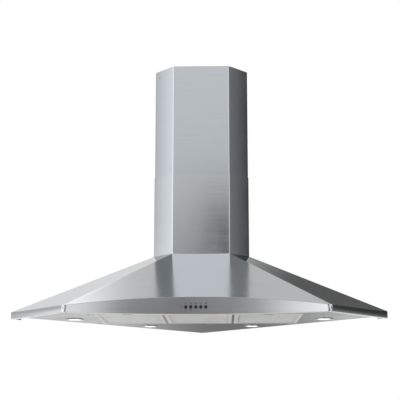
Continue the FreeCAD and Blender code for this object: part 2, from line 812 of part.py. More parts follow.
def make_lamp_fitting(place):
    # Bezel against the panel, cup through it, a lip for the glass, and a socket at the top.
    x, y, z = place
    top = recess + lamp_cup_height
    low = recess - lamp_bezel_height
    bezel = rod(lamp_bezel_radius, (x, y, low), (0, 0, 1), lamp_bezel_height)
    rim = [edge for edge in bezel.Edges if isinstance(edge.Curve, Part.Circle) and edge.CenterOfMass.z < low + 0.1]
    bezel = bezel.makeFillet(lamp_bezel_round, rim)
    cup = rod(lamp_cup_radius, (x, y, recess), (0, 0, 1), lamp_cup_height)
    room = rod(lamp_cup_radius - lamp_wall, (x, y, lamp_glass_z()), (0, 0, 1), top - lamp_wall - lamp_glass_z())
    window = Part.makeCone(lamp_glass_radius + lamp_flare, lamp_glass_radius, lamp_lip, vec(x, y, low))
    socket = rod(socket_radius, (x, y, top - lamp_wall - socket_depth), (0, 0, 1), socket_depth)
    clips = [make_spring_clip(x, y, turn) for turn in (90, 270)]
    return bezel.fuse(cup).cut(room).cut(window).multiFuse([socket] + clips).removeSplitter()


def make_spring_clip(x, y, turn):
    # Bent leaf that holds the fitting up against the panel.
    low = tray_z + latch_play
    root = lamp_cup_radius - lamp_wall / 2
    knee, tip = lamp_cup_radius + clip_knee, lamp_cup_radius + clip_tip
    line = [(root, low + clip_root), (knee, low), (tip, low + clip_lift)]
    lower = [vec(reach, -clip_width / 2, z) for reach, z in line]
    upper = [point + vec(0, 0, clip_sheet) for point in lower]
    section = Part.makePolygon(lower + upper[::-1] + lower[:1])
    clip = Part.Face(section).extrude(vec(0, clip_width))
    clip.rotate(vec(0, 0), vec(0, 0, 1), turn)
    clip.translate(vec(x, y))
    return clip


def lamp_glass_z():
    return recess - lamp_bezel_height + lamp_lip


def make_lamp_glass(place):
    x, y, z = place
    radius = lamp_cup_radius - lamp_wall - lamp_hole_gap
    return rod(radius, (x, y, lamp_glass_z()), (0, 0, 1), lamp_glass_thickness)


def make_lamp_bulb(place):
    x, y, z = place
    top = recess + lamp_cup_height - lamp_wall - socket_depth
    bulb = rod(bulb_radius, (x, y, top - bulb_length), (0, 0, 1), bulb_length)
    tip = [edge for edge in bulb.Edges if isinstance(edge.Curve, Part.Circle)
           and edge.CenterOfMass.z < top - bulb_length + 0.1]
    return bulb.makeFillet(bulb_tip, tip)


def make_button(x):
    front = fascia_y - button_proud
    button = rod(button_radius, (x, front, controls_z), (0, 1, 0), button_length)
    rim = [edge for edge in button.Edges if isinstance(edge.Curve, Part.Circle)
           and edge.CenterOfMass.y < front + 0.1]
    return button.makeFillet(button_dome, rim)


def make_switch_block():
    front = fascia_y + sheet + switch_gap
    places = button_places()
    x0, x1 = switch_ends()
    z0, z1 = controls_z - switch_height / 2, controls_z + switch_height / 2
    block = box(x0, x1, front, front + switch_depth, z0, z1)
    depth = fascia_y - button_proud + button_length + button_travel + button_gap - front
    for x in places:
        block = block.cut(rod(button_radius + button_gap, (x, front, controls_z), (0, 1, 0), depth))
    block = block.cut(rod(lens_radius + running_gap, (lens_x(), front, controls_z), (0, 1, 0), depth))
    width, length, height = plug_size
    rear = front + switch_depth
    plug = box(controls_x - width / 2, controls_x + width / 2, rear, rear + length,
               controls_z - height / 2, controls_z + height / 2)
    return block.fuse(plug).removeSplitter()


def make_lens():
    length = button_length / 2
    lens = rod(lens_radius, (lens_x(), fascia_y - sheet, controls_z), (0, 1, 0), length)
    rim = [edge for edge in lens.Edges if isinstance(edge.Curve, Part.Circle)
           and edge.CenterOfMass.y < fascia_y]
    return lens.makeFillet(lens_dome, rim)


def electrics_front():
    return filter_rear + electrics_rear


def make_control_box():
    width, depth, height = control_box_size
    y = electrics_front()
    case = box(-electrics_x - width, -electrics_x, y, y + depth, tray_z, tray_z + height - box_wall)
    hollow = box(-electrics_x - width + box_wall, -electrics_x - box_wall, y + box_wall, y + depth - box_wall,
                 tray_z + box_wall, tray_z + height)
    holes = []
    for across in (width / 3, 2 * width / 3):
        start = (-electrics_x - across, y + depth - 2 * box_wall, tray_z + height / 2)
        holes.append(rod(cable_hole_radius, start, (0, 1, 0), 4 * box_wall))
    return case.cut(Part.makeCompound([hollow] + holes))


def make_control_lid():
    width, depth, height = control_box_size
    y = electrics_front()
    top = tray_z + height
    lid = box(-electrics_x - width, -electrics_x, y, y + depth, top - box_wall, top)
    rim_gap = box_wall + latch_play
    rim = box(-electrics_x - width + rim_gap, -electrics_x - rim_gap, y + rim_gap, y + depth - rim_gap,
              top - 3 * box_wall, top - box_wall)
    return lid.fuse(rim).removeSplitter()


def make_transformer():
    width, depth, height = transformer_size
    y = electrics_front()
    case = box(electrics_x, electrics_x + width, y, y + depth, tray_z, tray_z + height)
    tops = [edge for edge in case.Edges if edge.CenterOfMass.z > tray_z + height - 0.1]
    case = case.makeFillet(box_wall, tops)
    foot = box(electrics_x - foot_reach, electrics_x + width + foot_reach, y, y + depth, tray_z, tray_z + foot_height)
    long, wide, tall = terminal_size
    middle = electrics_x + width / 2
    top = tray_z + height
    terminals = box(middle - long / 2, middle + long / 2, y + box_wall, y + box_wall + wide, top, top + tall)
    return case.multiFuse([foot, terminals]).removeSplitter()


def make_body_screws():
    screws = [make_screw((x, y, recess), (0, 0, 1), panel_screw_length) for x, y in panel_screw_places()]
    return Part.makeCompound(screws)


def build():
    save("canopy", make_canopy())
    save("fascia", make_fascia())
    save("underside_panel", make_underside_panel())
    back = make_back_panel()
    save("back_panel_left", back)
    save("back_panel_right", mirrored(back))
    hook = make_wall_hook()
    save("wall_hook_left", hook)
    save("wall_hook_right", mirrored(hook))
    save("roof_plate", make_roof_plate())
    save("lower_chimney", make_chimney(0, 0, canopy_height, lower_chimney_top))
    save("upper_chimney", make_upper_chimney())
    save("chimney_wall_bracket", make_chimney_bracket())
    save("chimney_screws", make_chimney_screws())
    housing = make_fan_housing()
    save("fan_housing_right", housing)
    save("fan_housing_left", mirrored(housing))
    save("fan_wheel", make_wheel())
    save("motor", make_motor())
    save("motor_bearings", make_bearings())
    save("motor_shaft", make_shaft())
    save("motor_bracket", make_motor_bracket())
    save("motor_grommets", make_grommets())
    save("outlet_collar", make_collar())
    save("damper_pin", make_damper_pin())
    save("damper_flap_front", make_flap(-1))
    save("damper_flap_rear", make_flap(1))
    save("fan_screws", make_fan_screws())
    for name, x in filter_centres().items():
        save("filter_frame_" + name, make_filter_frame(x))
        save("filter_mesh_" + name, make_filter_mesh(x))
        save("filter_pins_" + name, make_filter_pins(x))
        save("filter_latch_" + name, make_filter_latch(x))
    for number, place in enumerate(lamp_places(), 1):
        save("lamp_fitting_%d" % number, make_lamp_fitting(place))
        save("lamp_glass_%d" % number, make_lamp_glass(place))
        save("lamp_bulb_%d" % number, make_lamp_bulb(place))
    for number, x in enumerate(button_places(), 1):
        save("button_%d" % number, make_button(x))
    save("switch_block", make_switch_block())
    save("pilot_lens", make_lens())
    save("control_box", make_control_box())
    save("control_box_lid", make_control_lid())
    save("lamp_transformer", make_transformer())
    save("underside_screws", make_body_screws())


build()
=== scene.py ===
import bmesh
import bpy
import math
from mathutils import Matrix, Vector


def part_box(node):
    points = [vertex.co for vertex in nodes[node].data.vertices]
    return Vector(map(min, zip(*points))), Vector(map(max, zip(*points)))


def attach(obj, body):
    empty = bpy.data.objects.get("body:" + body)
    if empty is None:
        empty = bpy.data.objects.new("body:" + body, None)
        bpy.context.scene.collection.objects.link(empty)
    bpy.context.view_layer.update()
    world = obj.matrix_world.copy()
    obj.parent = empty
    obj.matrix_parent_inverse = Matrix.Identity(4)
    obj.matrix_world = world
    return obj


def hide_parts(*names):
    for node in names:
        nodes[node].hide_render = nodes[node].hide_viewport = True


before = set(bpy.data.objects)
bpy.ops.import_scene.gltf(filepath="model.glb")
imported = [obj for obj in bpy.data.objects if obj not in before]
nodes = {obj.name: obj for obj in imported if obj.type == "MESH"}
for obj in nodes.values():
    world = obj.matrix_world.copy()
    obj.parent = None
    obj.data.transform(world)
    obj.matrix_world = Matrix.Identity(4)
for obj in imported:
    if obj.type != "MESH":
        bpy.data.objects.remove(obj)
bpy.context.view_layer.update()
scene = bpy.context.scene
sides = ("left", "centre", "right")
buttonNumbers = range(1, 6)
lampNumbers = range(1, 5)
print("frame loaded")


# camera: below the hood, looking up at it
camera = {
    "place": (0.09696, -4.3325, -0.3754),
    "pitch": 10.56,      # degrees above level
    "yaw": 1.436,        # degrees to the left
    "lens": 87.19,
    "sensor": 36.0,
    "shiftY": 0.10,
    "clip": (0.05, 60.0),
}


def makeCamera():
    data = bpy.data.cameras.new("camera")
    data.lens = camera["lens"]
    data.sensor_width = camera["sensor"]
    data.shift_y = camera["shiftY"]
    data.clip_start, data.clip_end = camera["clip"]
    eye = bpy.data.objects.new("camera", data)
    eye.location = camera["place"]
    eye.rotation_euler = (math.radians(90 + camera["pitch"]), 0.0, math.radians(camera["yaw"]))
    scene.collection.objects.link(eye)
    scene.camera = eye


makeCamera()
scene.view_settings.view_transform = "Standard"
print("camera ready")


# node helpers
def addNode(tree, kind, **settings):
    node = tree.nodes.new(kind)
    for name, value in settings.items():
        setattr(node, name, value)
    return node


def feed(tree, socket, value):
    if isinstance(value, bpy.types.NodeSocket):
        tree.links.new(value, socket)
    else:
        socket.default_value = value


def calc(tree, operation, *values):
    node = addNode(tree, "ShaderNodeMath", operation=operation)
    for socket, value in zip(node.inputs, values):
        feed(tree, socket, value)
    return node.outputs[0]


def remap(tree, value, low, high, toLow, toHigh, smooth=False):
    node = addNode(tree, "ShaderNodeMapRange", interpolation_type="SMOOTHSTEP" if smooth else "LINEAR")
    ends = {"Value": value, "From Min": low, "From Max": high, "To Min": toLow, "To Max": toHigh}
    for name, item in ends.items():
        feed(tree, node.inputs[name], item)
    return node.outputs["Result"]


def blendColor(tree, factor, first, second):
    node = addNode(tree, "ShaderNodeMix", data_type="RGBA")
    feed(tree, node.inputs["Factor"], factor)
    feed(tree, node.inputs["A"], first)
    feed(tree, node.inputs["B"], second)
    return node.outputs["Result"]


def stretched(tree, scale):
    place = addNode(tree, "ShaderNodeTexCoord").outputs["Object"]
    node = addNode(tree, "ShaderNodeVectorMath", operation="MULTIPLY")
    feed(tree, node.inputs[0], place)
    feed(tree, node.inputs[1], scale)
    return node.outputs[0]


def noiseAt(tree, vector, scale, detail=2.0, roughness=0.5):
    node = addNode(tree, "ShaderNodeTexNoise")
    feed(tree, node.inputs["Vector"], vector)
    for name, value in (("Scale", scale), ("Detail", detail), ("Roughness", roughness)):
        node.inputs[name].default_value = value
    return node.outputs["Fac"]


def tinted(tree, color, level):
    node = addNode(tree, "ShaderNodeVectorMath", operation="SCALE")
    feed(tree, node.inputs[0], color)
    feed(tree, node.inputs["Scale"], level)
    return node.outputs[0]


def bumpFrom(tree, height, strength, distance, normal=None):
    node = addNode(tree, "ShaderNodeBump")
    feed(tree, node.inputs["Height"], height)
    feed(tree, node.inputs["Strength"], strength)
    feed(tree, node.inputs["Distance"], distance)
    if normal is not None:
        feed(tree, node.inputs["Normal"], normal)
    return node.outputs["Normal"]


def startGroup(name, inputs, outputs):
    group = bpy.data.node_groups.new(name, "ShaderNodeTree")
    kinds = {"value": "NodeSocketFloat", "color": "NodeSocketColor", "vector": "NodeSocketVector"}
    for label, kind, value in inputs:
        group.interface.new_socket(label, in_out="INPUT", socket_type=kinds[kind]).default_value = value
    for label, kind in outputs:
        group.interface.new_socket(label, in_out="OUTPUT", socket_type=kinds[kind])
    return group, group.nodes.new("NodeGroupInput").outputs, group.nodes.new("NodeGroupOutput").inputs


def makeGrainGroup():
    # brushed sheet: fine lines, handling marks, and the slight bulge of a flat panel
    group, given, result = startGroup("brushedGrain", [
        ("Color", "color", (0.6, 0.6, 0.6, 1)), ("Lines", "vector", (3, 3, 700)), ("Roughness", "value", 0.25),
        ("Line Depth", "value", 0.1), ("Bulge", "value", 0.001), ("Smudge", "value", 0.05),
    ], [("Color", "color"), ("Roughness", "value"), ("Normal", "vector")])
    lines = noiseAt(group, stretched(group, given["Lines"]), 1.0, 3.0, 0.65)
    marks = noiseAt(group, stretched(group, (1, 1, 1)), 5.0, 4.0, 0.6)
    swell = noiseAt(group, stretched(group, (1, 1, 0.6)), 2.3, 0.0)
    feed(group, result["Color"], tinted(group, given["Color"], remap(group, lines, 0.3, 0.7, 0.95, 1.03)))
    handled = calc(group, "MULTIPLY", remap(group, marks, 0.45, 0.75, 0.0, 1.0, True), given["Smudge"])
    lined = remap(group, lines, 0.3, 0.7, -0.02, 0.02)
    feed(group, result["Roughness"], calc(group, "ADD", calc(group, "ADD", given["Roughness"], handled), lined))
    bulged = bumpFrom(group, swell, 1.0, given["Bulge"])
    feed(group, result["Normal"], bumpFrom(group, lines, given["Line Depth"], 0.0002, bulged))
    return group


def makeSpangleGroup():
    # zinc coat: crystal patches of slightly different tone
    group, given, result = startGroup("zincSpangle", [
        ("Color", "color", (0.5, 0.5, 0.5, 1)), ("Size", "value", 90.0), ("Contrast", "value", 0.2),
    ], [("Color", "color"), ("Roughness", "value")])
    cells = addNode(group, "ShaderNodeTexVoronoi", feature="F1")
    feed(group, cells.inputs["Vector"], stretched(group, (1, 1, 1)))
    feed(group, cells.inputs["Scale"], given["Size"])
    patch = addNode(group, "ShaderNodeSeparateColor")
    feed(group, patch.inputs[0], cells.outputs["Color"])
    bright = calc(group, "ADD", 1.0, calc(group, "MULTIPLY", calc(group, "SUBTRACT", patch.outputs[0], 0.5),
                                          given["Contrast"]))
    feed(group, result["Color"], tinted(group, given["Color"], bright))
    feed(group, result["Roughness"], remap(group, patch.outputs[1], 0.0, 1.0, 0.32, 0.5))
    return group


def makeMouldGroup():
    # moulded plastic and rubber: spark grain, edges rubbed lighter, and dust on top
    group, given, result = startGroup("mouldedSkin", [
        ("Color", "color", (0.1, 0.1, 0.1, 1)), ("Roughness", "value", 0.5), ("Grain", "value", 0.15),
        ("Wear", "value", 0.3), ("Dust", "value", 0.1),
    ], [("Color", "color"), ("Roughness", "value"), ("Normal", "vector")])
    place = stretched(group, (1, 1, 1))
    grain = noiseAt(group, place, 1400.0, 2.0, 0.6)
    cloud = noiseAt(group, place, 18.0, 3.0, 0.55)
    surface = addNode(group, "ShaderNodeNewGeometry")
    edge = remap(group, surface.outputs["Pointiness"], 0.52, 0.6, 0.0, 1.0, True)
    rubbed = calc(group, "MULTIPLY", edge, given["Wear"])
    worn = blendColor(group, rubbed, given["Color"], (0.45, 0.45, 0.45, 1))
    facing = addNode(group, "ShaderNodeSeparateXYZ")
    feed(group, facing.inputs[0], surface.outputs["Normal"])
    upward = remap(group, facing.outputs[2], 0.4, 1.0, 0.0, 1.0, True)
    dusty = calc(group, "MULTIPLY", calc(group, "MULTIPLY", upward, cloud), given["Dust"])
    feed(group, result["Color"], blendColor(group, dusty, worn, (0.42, 0.40, 0.37, 1)))
    uneven = remap(group, cloud, 0.3, 0.7, -0.05, 0.07)
    feed(group, result["Roughness"], calc(group, "ADD", given["Roughness"], uneven))
    feed(group, result["Normal"], bumpFrom(group, grain, given["Grain"], 0.0003))
    return group


grainGroup = makeGrainGroup()
spangleGroup = makeSpangleGroup()
mouldGroup = makeMouldGroup()
print("shared effects built")


def startMaterial(name, **plain):
    # a material with its Principled shader, whose plain values are set on its own sockets
    material = bpy.data.materials.new(name)
    material.use_nodes = True
    shader = material.node_tree.nodes["Principled BSDF"]
    for label, value in plain.items():
        shader.inputs[label.replace("_", " ")].default_value = value
    return material, material.node_tree, shader


def useGroup(tree, group, values):
    node = addNode(tree, "ShaderNodeGroup", node_tree=group)
    for label, value in values.items():
        feed(tree, node.inputs[label], value)
    return node


def wire(tree, shader, node):
    # every output of a group goes to the shader's socket of that name
    for output in node.outputs:
        feed(tree, shader.inputs["Base Color" if output.name == "Color" else output.name], output)


# steel and aluminium sheets: tone, fineness of the grain along X, Y and Z, roughness, depth of the lines,
# bulge of the panel, smudges, and how far the shine is drawn out
sheetFinishes = {
    "canopySteel": ((0.61, 0.63, 0.65), (4, 4, 800), 0.13, 0.10, 0.0012, 0.05, 0.55),
    "chimneySteel": ((0.60, 0.635, 0.67), (4, 4, 700), 0.14, 0.10, 0.0016, 0.05, 0.5),
    "lowerSteel": ((0.62, 0.652, 0.678), (4, 4, 700), 0.14, 0.10, 0.0016, 0.05, 0.5),
    "fasciaSteel": ((0.60, 0.61, 0.62), (4, 4, 800), 0.15, 0.08, 0.0003, 0.04, 0.4),
    # painted shade: the underside panel is a darker copy of the same brushed steel
    "shadedUndersideSteel": ((0.335, 0.333, 0.335), (4, 700, 700), 0.22, 0.10, 0.0008, 0.08, 0.4),
    "filterAluminium": ((0.93, 0.925, 0.92), (5, 600, 600), 0.46, 0.15, 0.0002, 0.08, 0.3),
    # painted highlight: a brighter copy of the steel, for the hems and the filter beads
    "paintedHighlightEdge": ((0.93, 0.93, 0.93), (60, 60, 60), 0.22, 0.02, 0.0, 0.04, 0.0),
    "meshAluminium": ((0.95, 0.95, 0.94), (250, 250, 250), 0.34, 0.3, 0.0002, 0.1, 0.0),
    "turnedSteel": ((0.56, 0.57, 0.58), (900, 60, 60), 0.26, 0.12, 0.0, 0.06, 0.0),
    # painted reflection: near-black chrome on the button caps stands in for the dark surround a chrome cap
    # reflects
    "paintedReflectionChrome": ((0.055, 0.055, 0.057), (60, 60, 60), 0.10, 0.01, 0.0, 0.05, 0.0),
    "ringChrome": ((0.26, 0.26, 0.265), (60, 60, 60), 0.12, 0.01, 0.0, 0.05, 0.0),
    "polishedChrome": ((0.78, 0.79, 0.80), (60, 60, 60), 0.07, 0.01, 0.0, 0.05, 0.0),
}


def makeSheetMaterial(name):
    tone, lines, rough, depth, bulge, smudge, streak = sheetFinishes[name]
    material, tree, shader = startMaterial(name, Metallic=1.0, Anisotropic=streak)
    grain = useGroup(tree, grainGroup, {
        "Color": (*tone, 1), "Lines": lines, "Roughness": rough, "Line Depth": depth, "Bulge": bulge,
        "Smudge": smudge,
    })
    wire(tree, shader, grain)
    if streak:
        along = addNode(tree, "ShaderNodeCombineXYZ")
        feed(tree, along.inputs["X"], 1.0)
        feed(tree, shader.inputs["Tangent"], along.outputs[0])
    return material


zincFinish = {"tone": (0.52, 0.54, 0.56), "size": 95.0, "contrast": 0.22}


def makeZincMaterial():
    material, tree, shader = startMaterial("galvanisedSteel", Metallic=1.0)
    coat = useGroup(tree, spangleGroup, {
        "Color": (*zincFinish["tone"], 1), "Size": zincFinish["size"], "Contrast": zincFinish["contrast"],
    })
    wire(tree, shader, coat)
    return material


# moulded and painted surfaces: tone, roughness, grain, wear of the edges, and dust on top
mouldFinishes = {
    "latchPlastic": ((0.30, 0.30, 0.31), 0.42, 0.12, 0.25, 0.1),
    "housingPlastic": ((0.075, 0.08, 0.085), 0.55, 0.2, 0.2, 0.5),
    "wheelPlastic": ((0.03, 0.03, 0.033), 0.45, 0.1, 0.2, 0.3),
    "motorPaint": ((0.30, 0.31, 0.32), 0.38, 0.08, 0.35, 0.4),
    "blackRubber": ((0.02, 0.02, 0.02), 0.7, 0.3, 0.1, 0.3),
    "printedBlack": ((0.004, 0.004, 0.004), 0.8, 0.05, 0.0, 0.0),
    "blackPlastic": ((0.035, 0.035, 0.038), 0.5, 0.2, 0.25, 0.4),
}


def makeMouldMaterial(name):
    tone, rough, grain, wear, dust = mouldFinishes[name]
    material, tree, shader = startMaterial(name)
    skin = useGroup(tree, mouldGroup, {
        "Color": (*tone, 1), "Roughness": rough, "Grain": grain, "Wear": wear, "Dust": dust,
    })
    wire(tree, shader, skin)
    return material


# glass and clear plastic: tone, roughness, share of light let through, scale and depth of the frost, glow
glassFinishes = {
    "frostedGlass": ((0.97, 0.97, 0.95), 0.45, 0.30, 900.0, 0.25, 0.55),
    "clearGlass": ((0.99, 0.98, 0.96), 0.04, 0.95, 60.0, 0.02, 0.0),
    "lensPlastic": ((0.16, 0.10, 0.07), 0.18, 0.3, 300.0, 0.05, 0.0),
}


def makeGlassMaterial(name):
    tone, rough, through, frost, depth, glow = glassFinishes[name]
    material, tree, shader = startMaterial(name, Metallic=0.0, Transmission_Weight=through, IOR=1.49,
                                           Emission_Strength=glow)
    ripple = noiseAt(tree, stretched(tree, (1, 1, 1)), frost, 2.0)
    cloud = noiseAt(tree, stretched(tree, (1, 1, 1)), 40.0, 3.0)
    color = blendColor(tree, remap(tree, cloud, 0.3, 0.7, 0.0, 0.06), (*tone, 1), (0.8, 0.8, 0.78, 1))
    feed(tree, shader.inputs["Base Color"], color)
    feed(tree, shader.inputs["Roughness"], remap(tree, cloud, 0.3, 0.7, rough - 0.02, rough + 0.04))
    feed(tree, shader.inputs["Normal"], bumpFrom(tree, ripple, depth, 0.0002))
    return material


finishes = {name: makeSheetMaterial(name) for name in sheetFinishes}
finishes.update({name: makeMouldMaterial(name) for name in mouldFinishes})
finishes.update({name: makeGlassMaterial(name) for name in glassFinishes})
finishes["galvanisedSteel"] = makeZincMaterial()
print("materials built:", len(finishes))


def named(stem, endings):
    return [stem + str(ending) for ending in endings]


# which finish each node of the frame takes
nodeFinishes = {
    "canopySteel": ["canopy"],
    "chimneySteel": ["lower_chimney", "upper_chimney"],
    "fasciaSteel": ["fascia"],
    "shadedUndersideSteel": ["underside_panel"],
    "galvanisedSteel": ["back_panel_left", "back_panel_right", "roof_plate", "wall_hook_left", "wall_hook_right",
                        "chimney_wall_bracket", "motor_bracket"],
    "turnedSteel": ["chimney_screws", "fan_screws", "underside_screws", "motor_shaft", "motor_bearings",
                    "damper_pin"] + named("filter_pins_", sides),
    "housingPlastic": ["fan_housing_left", "fan_housing_right", "outlet_collar", "damper_flap_front",
                       "damper_flap_rear"],
    "wheelPlastic": ["fan_wheel"],
    "motorPaint": ["motor"],
    "blackRubber": ["motor_grommets"],
    "blackPlastic": ["switch_block", "control_box", "control_box_lid", "lamp_transformer"],
    "lensPlastic": ["pilot_lens"],
    "filterAluminium": named("filter_frame_", sides),
    "meshAluminium": named("filter_mesh_", sides),
    "latchPlastic": named("filter_latch_", sides),
    "polishedChrome": named("lamp_fitting_", lampNumbers) + named("button_", buttonNumbers),
    "frostedGlass": named("lamp_glass_", lampNumbers),
    "clearGlass": named("lamp_bulb_", lampNumbers),
}


def dressNodes():
    for finish, names in nodeFinishes.items():
        for name in names:
            slots = nodes[name].data.materials
            slots.clear()
            slots.append(finishes[finish])


# folded sheets and moulded boxes get small rounded edges
edgeRounding = {
    "widths": {
        0.0004: ["underside_panel", "back_panel_left", "back_panel_right"],
        0.0006: ["roof_plate", "chimney_wall_bracket", "wall_hook_left", "wall_hook_right"],
        0.0007: ["control_box", "control_box_lid"],
    },
    "weld": 0.00002,
    "flatWithin": 0.8,     # degrees
    "roundFrom": 20,       # degrees
    "segments": 2,
}


def roundEdges():
    for width, names in edgeRounding["widths"].items():
        for name in names:
            modifiers = nodes[name].modifiers
            modifiers.new("weld", "WELD").merge_threshold = edgeRounding["weld"]
            flat = modifiers.new("flat", "DECIMATE")
            flat.decimate_type = "DISSOLVE"
            flat.angle_limit = math.radians(edgeRounding["flatWithin"])
            edge = modifiers.new("edge", "BEVEL")
            edge.width = width
            edge.segments = edgeRounding["segments"]
            edge.limit_method = "ANGLE"
            edge.angle_limit = math.radians(edgeRounding["roundFrom"])
            edge.harden_normals = True


dressNodes()
roundEdges()
print("frame dressed")


# mesh helpers
def smoothByAngle(form, degrees=32.0):
    limit = math.radians(degrees)
    for face in form.faces:
        face.smooth = True
    for edge in form.edges:
        edge.smooth = len(edge.link_faces) == 2 and edge.calc_face_angle(0.0) < limit


def meshPiece(name, form, finish, body, replaced=()):
    smoothByAngle(form)
    mesh = bpy.data.meshes.new(name)
    form.to_mesh(mesh)
    form.free()
    mesh.materials.append(finishes[finish])
    piece = bpy.data.objects.new(name, mesh)
    scene.collection.objects.link(piece)
    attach(piece, body)
    if replaced:
        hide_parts(*replaced)
    return piece


def addGrid(form, rows):
    # rows of points of equal length, joined with quads; returns the rows of vertices
    made = [[form.verts.new(point) for point in row] for row in rows]
    for first, second in zip(made, made[1:]):
        for a, b, c, d in zip(first, first[1:], second[1:], second):
            form.faces.new((a, b, c, d))
    return made


def addTube(form, loops):
    # loops of points of equal length, each one closed, joined with quads and filled at both ends
    made = addGrid(form, [loop + loop[:1] for loop in loops])
    for end in (made[0], made[-1]):
        form.faces.new(end[:-1])


def ringOf(centre, first, second, radius, steps):
    # closed ring of points round centre, in the plane of two directions
    turns = [2 * math.pi * step / steps for step in range(steps)]
    ring = [centre + (first * math.cos(turn) + second * math.sin(turn)) * radius for turn in turns]
    return ring + ring[:1]


def addSpun(form, profile, centre, steps):
    # turns a profile of (radius, height) about the upright through centre
    up = Vector((0, 0, 1))
    aside = up.orthogonal().normalized()
    addGrid(form, [ringOf(centre + up * height, aside, up.cross(aside), radius, steps)
                   for radius, height in profile])


def quarterTurns(steps):
    return [math.pi / 2 * step / steps for step in range(steps + 1)]


def foldArc(radius, depth, turns):
    # inside or outside of a fold, depth below the sheet's outer face, as (depth, height)
    reach = radius - depth
    return [(radius - reach * math.cos(turn), radius - reach * math.sin(turn)) for turn in turns]


def brightenHem(piece):
    # the folded lower edge takes a brighter copy of the steel than the brushed face: a painted highlight along
    # the hem
    piece.data.materials.append(finishes["paintedHighlightEdge"])
    for face in piece.data.polygons:
        if face.center.z < hood["hemHeight"] and face.normal.z < hood["hemSlope"]:
            face.material_index = 1


def tidyForm(form, distance=0.00001):
    bmesh.ops.remove_doubles(form, verts=form.verts, dist=distance)
    bmesh.ops.recalc_face_normals(form, faces=form.faces)


def holeCutter(place, radius, depth, segments):
    cutter = bmesh.new()
    bmesh.ops.create_cone(cutter, cap_ends=True, segments=segments, radius1=radius, radius2=radius,
                          depth=depth, matrix=place)
    return cutter


def aimed(place, direction):
    # moves to a place and turns Z to a direction
    return Matrix.Translation(place) @ direction.to_track_quat("Z", "Y").to_matrix().to_4x4()


def carved(form, cutters):
    # the form with the cutters' solids taken out
    body = bpy.data.objects.new("carved", bpy.data.meshes.new("carved"))
    form.to_mesh(body.data)
    form.free()
    scene.collection.objects.link(body)
    helpers = []
    for cutter in cutters:
        tool = bpy.data.objects.new("cutter", bpy.data.meshes.new("cutter"))
        cutter.to_mesh(tool.data)
        cutter.free()
        scene.collection.objects.link(tool)
        helpers.append(tool)
        cut = body.modifiers.new("cut", "BOOLEAN")
        cut.operation = "DIFFERENCE"
        cut.solver = "EXACT"
        cut.object = tool
    depsgraph = bpy.context.evaluated_depsgraph_get()
    result = bmesh.new()
    result.from_mesh(body.evaluated_get(depsgraph).to_mesh())
    for item in [body] + helpers:
        mesh = item.data
        bpy.data.objects.remove(item)
        bpy.data.meshes.remove(mesh)
    return result


def islandBoxes(name):
    # box of each separate solid of a node, lowest corner and highest corner
    form = bmesh.new()
    form.from_mesh(nodes[name].data)
    bmesh.ops.remove_doubles(form, verts=form.verts, dist=0.00001)
    waiting = set(form.verts)
    boxes = []
    while waiting:
        stack = [waiting.pop()]
        members = []
        while stack:
            vertex = stack.pop()
            members.append(vertex.co.copy())
            for edge in vertex.link_edges:
                other = edge.other_vert(vertex)
                if other in waiting:
                    waiting.remove(other)
                    stack.append(other)
        boxes.append((Vector(map(min, *members)), Vector(map(max, *members))))
    form.free()
    return sorted(boxes, key=lambda ends: tuple(ends[0]))


# the hood's own measures, in metres
hood = {
    "run": 1.0,            # along each wall
    "side": 0.33,          # depth of a straight side
    "skirt": 0.0264,
    "top": 0.32,
    "bow": 0.0849,         # how far the middle of the front stands back
    "post": 0.010,         # flat strip at each end of the front
    "sheet": 0.001,
    "hem": 0.010,
    "hemHeight": 0.0028,   # faces below this height that look down are the hem's
    "hemSlope": -0.35,
    "wallReturn": 0.045,
    "topLip": 0.014,
    "fold": 0.0022,        # radius of a fold
    "chimneyRun": 0.292,
    "chimneySide": 0.12,
}
root2 = math.sqrt(2)
frontY = -(hood["run"] + hood["side"]) / root2
frontX = hood["run"] * root2 + frontY
fasciaHalf = (hood["run"] - hood["side"]) / root2 - hood["post"]
fasciaRadius = (fasciaHalf ** 2 + hood["bow"] ** 2) / (2 * hood["bow"])
fasciaCentreY = frontY + hood["bow"] - fasciaRadius
chimneyY = -(hood["chimneyRun"] + hood["chimneySide"]) / root2
chimneyX = hood["chimneyRun"] * root2 + chimneyY
slopeRise = (hood["top"] - hood["skirt"]) / (chimneyY - frontY)


def fasciaYAt(x):
    return fasciaCentreY + math.sqrt(fasciaRadius ** 2 - x ** 2)


def slopeZAt(y):
    return hood["skirt"] + (y - frontY) * slopeRise


def span(first, last, count):
    return [first + (last - first) * step / count for step in range(count + 1)]


# canopy: the folded sheet of the slopes, and under it a skirt whose corners are rounded
canopy = {
    "columns": 60,
    "rows": 14,
    "sideSteps": 8,
    "foldSteps": 3,
    "foldFrom": 0.1,       # edges that turn more than this are folds, in radians
    "corner": 0.018,       # radius of the skirt's front corners
    "hemFold": 0.003,
    "hemSteps": 5,
    "brow": 0.0022,        # depth of the rounding at the top of the skirt
    "browShape": [(1, 0.0002), (0.35, 0.0005), (0.08, 0.001), (0, 0.0018)],    # share of its depth, and drop
    "browInside": 0.0012,
    "skirtInside": 0.003,
    "faceFrom": 0.008,
    "plateDrop": 0.0004,   # the plate along the wall ends below the slope
    "plateInset": 0.0001,
    "middle": (0, -0.45, 0.06),
}


def roundedCorner(before, at, after, radius, steps=8):
    # plan path through three points, its corner rounded
    incoming, outgoing = (at - before).normalized(), (after - at).normalized()
    turn = incoming.angle_signed(outgoing)
    start = at - incoming * radius * math.tan(abs(turn) / 2)
    side = 1 if turn < 0 else -1
    centre = start + Vector((-incoming.y, incoming.x)) * radius * side
    path = [before]
    for part in span(0, 1, steps):
        spoke = start - centre
        spoke.rotate(Matrix.Rotation(-turn * part, 2))
        path.append(centre + spoke)
    return path + [after]


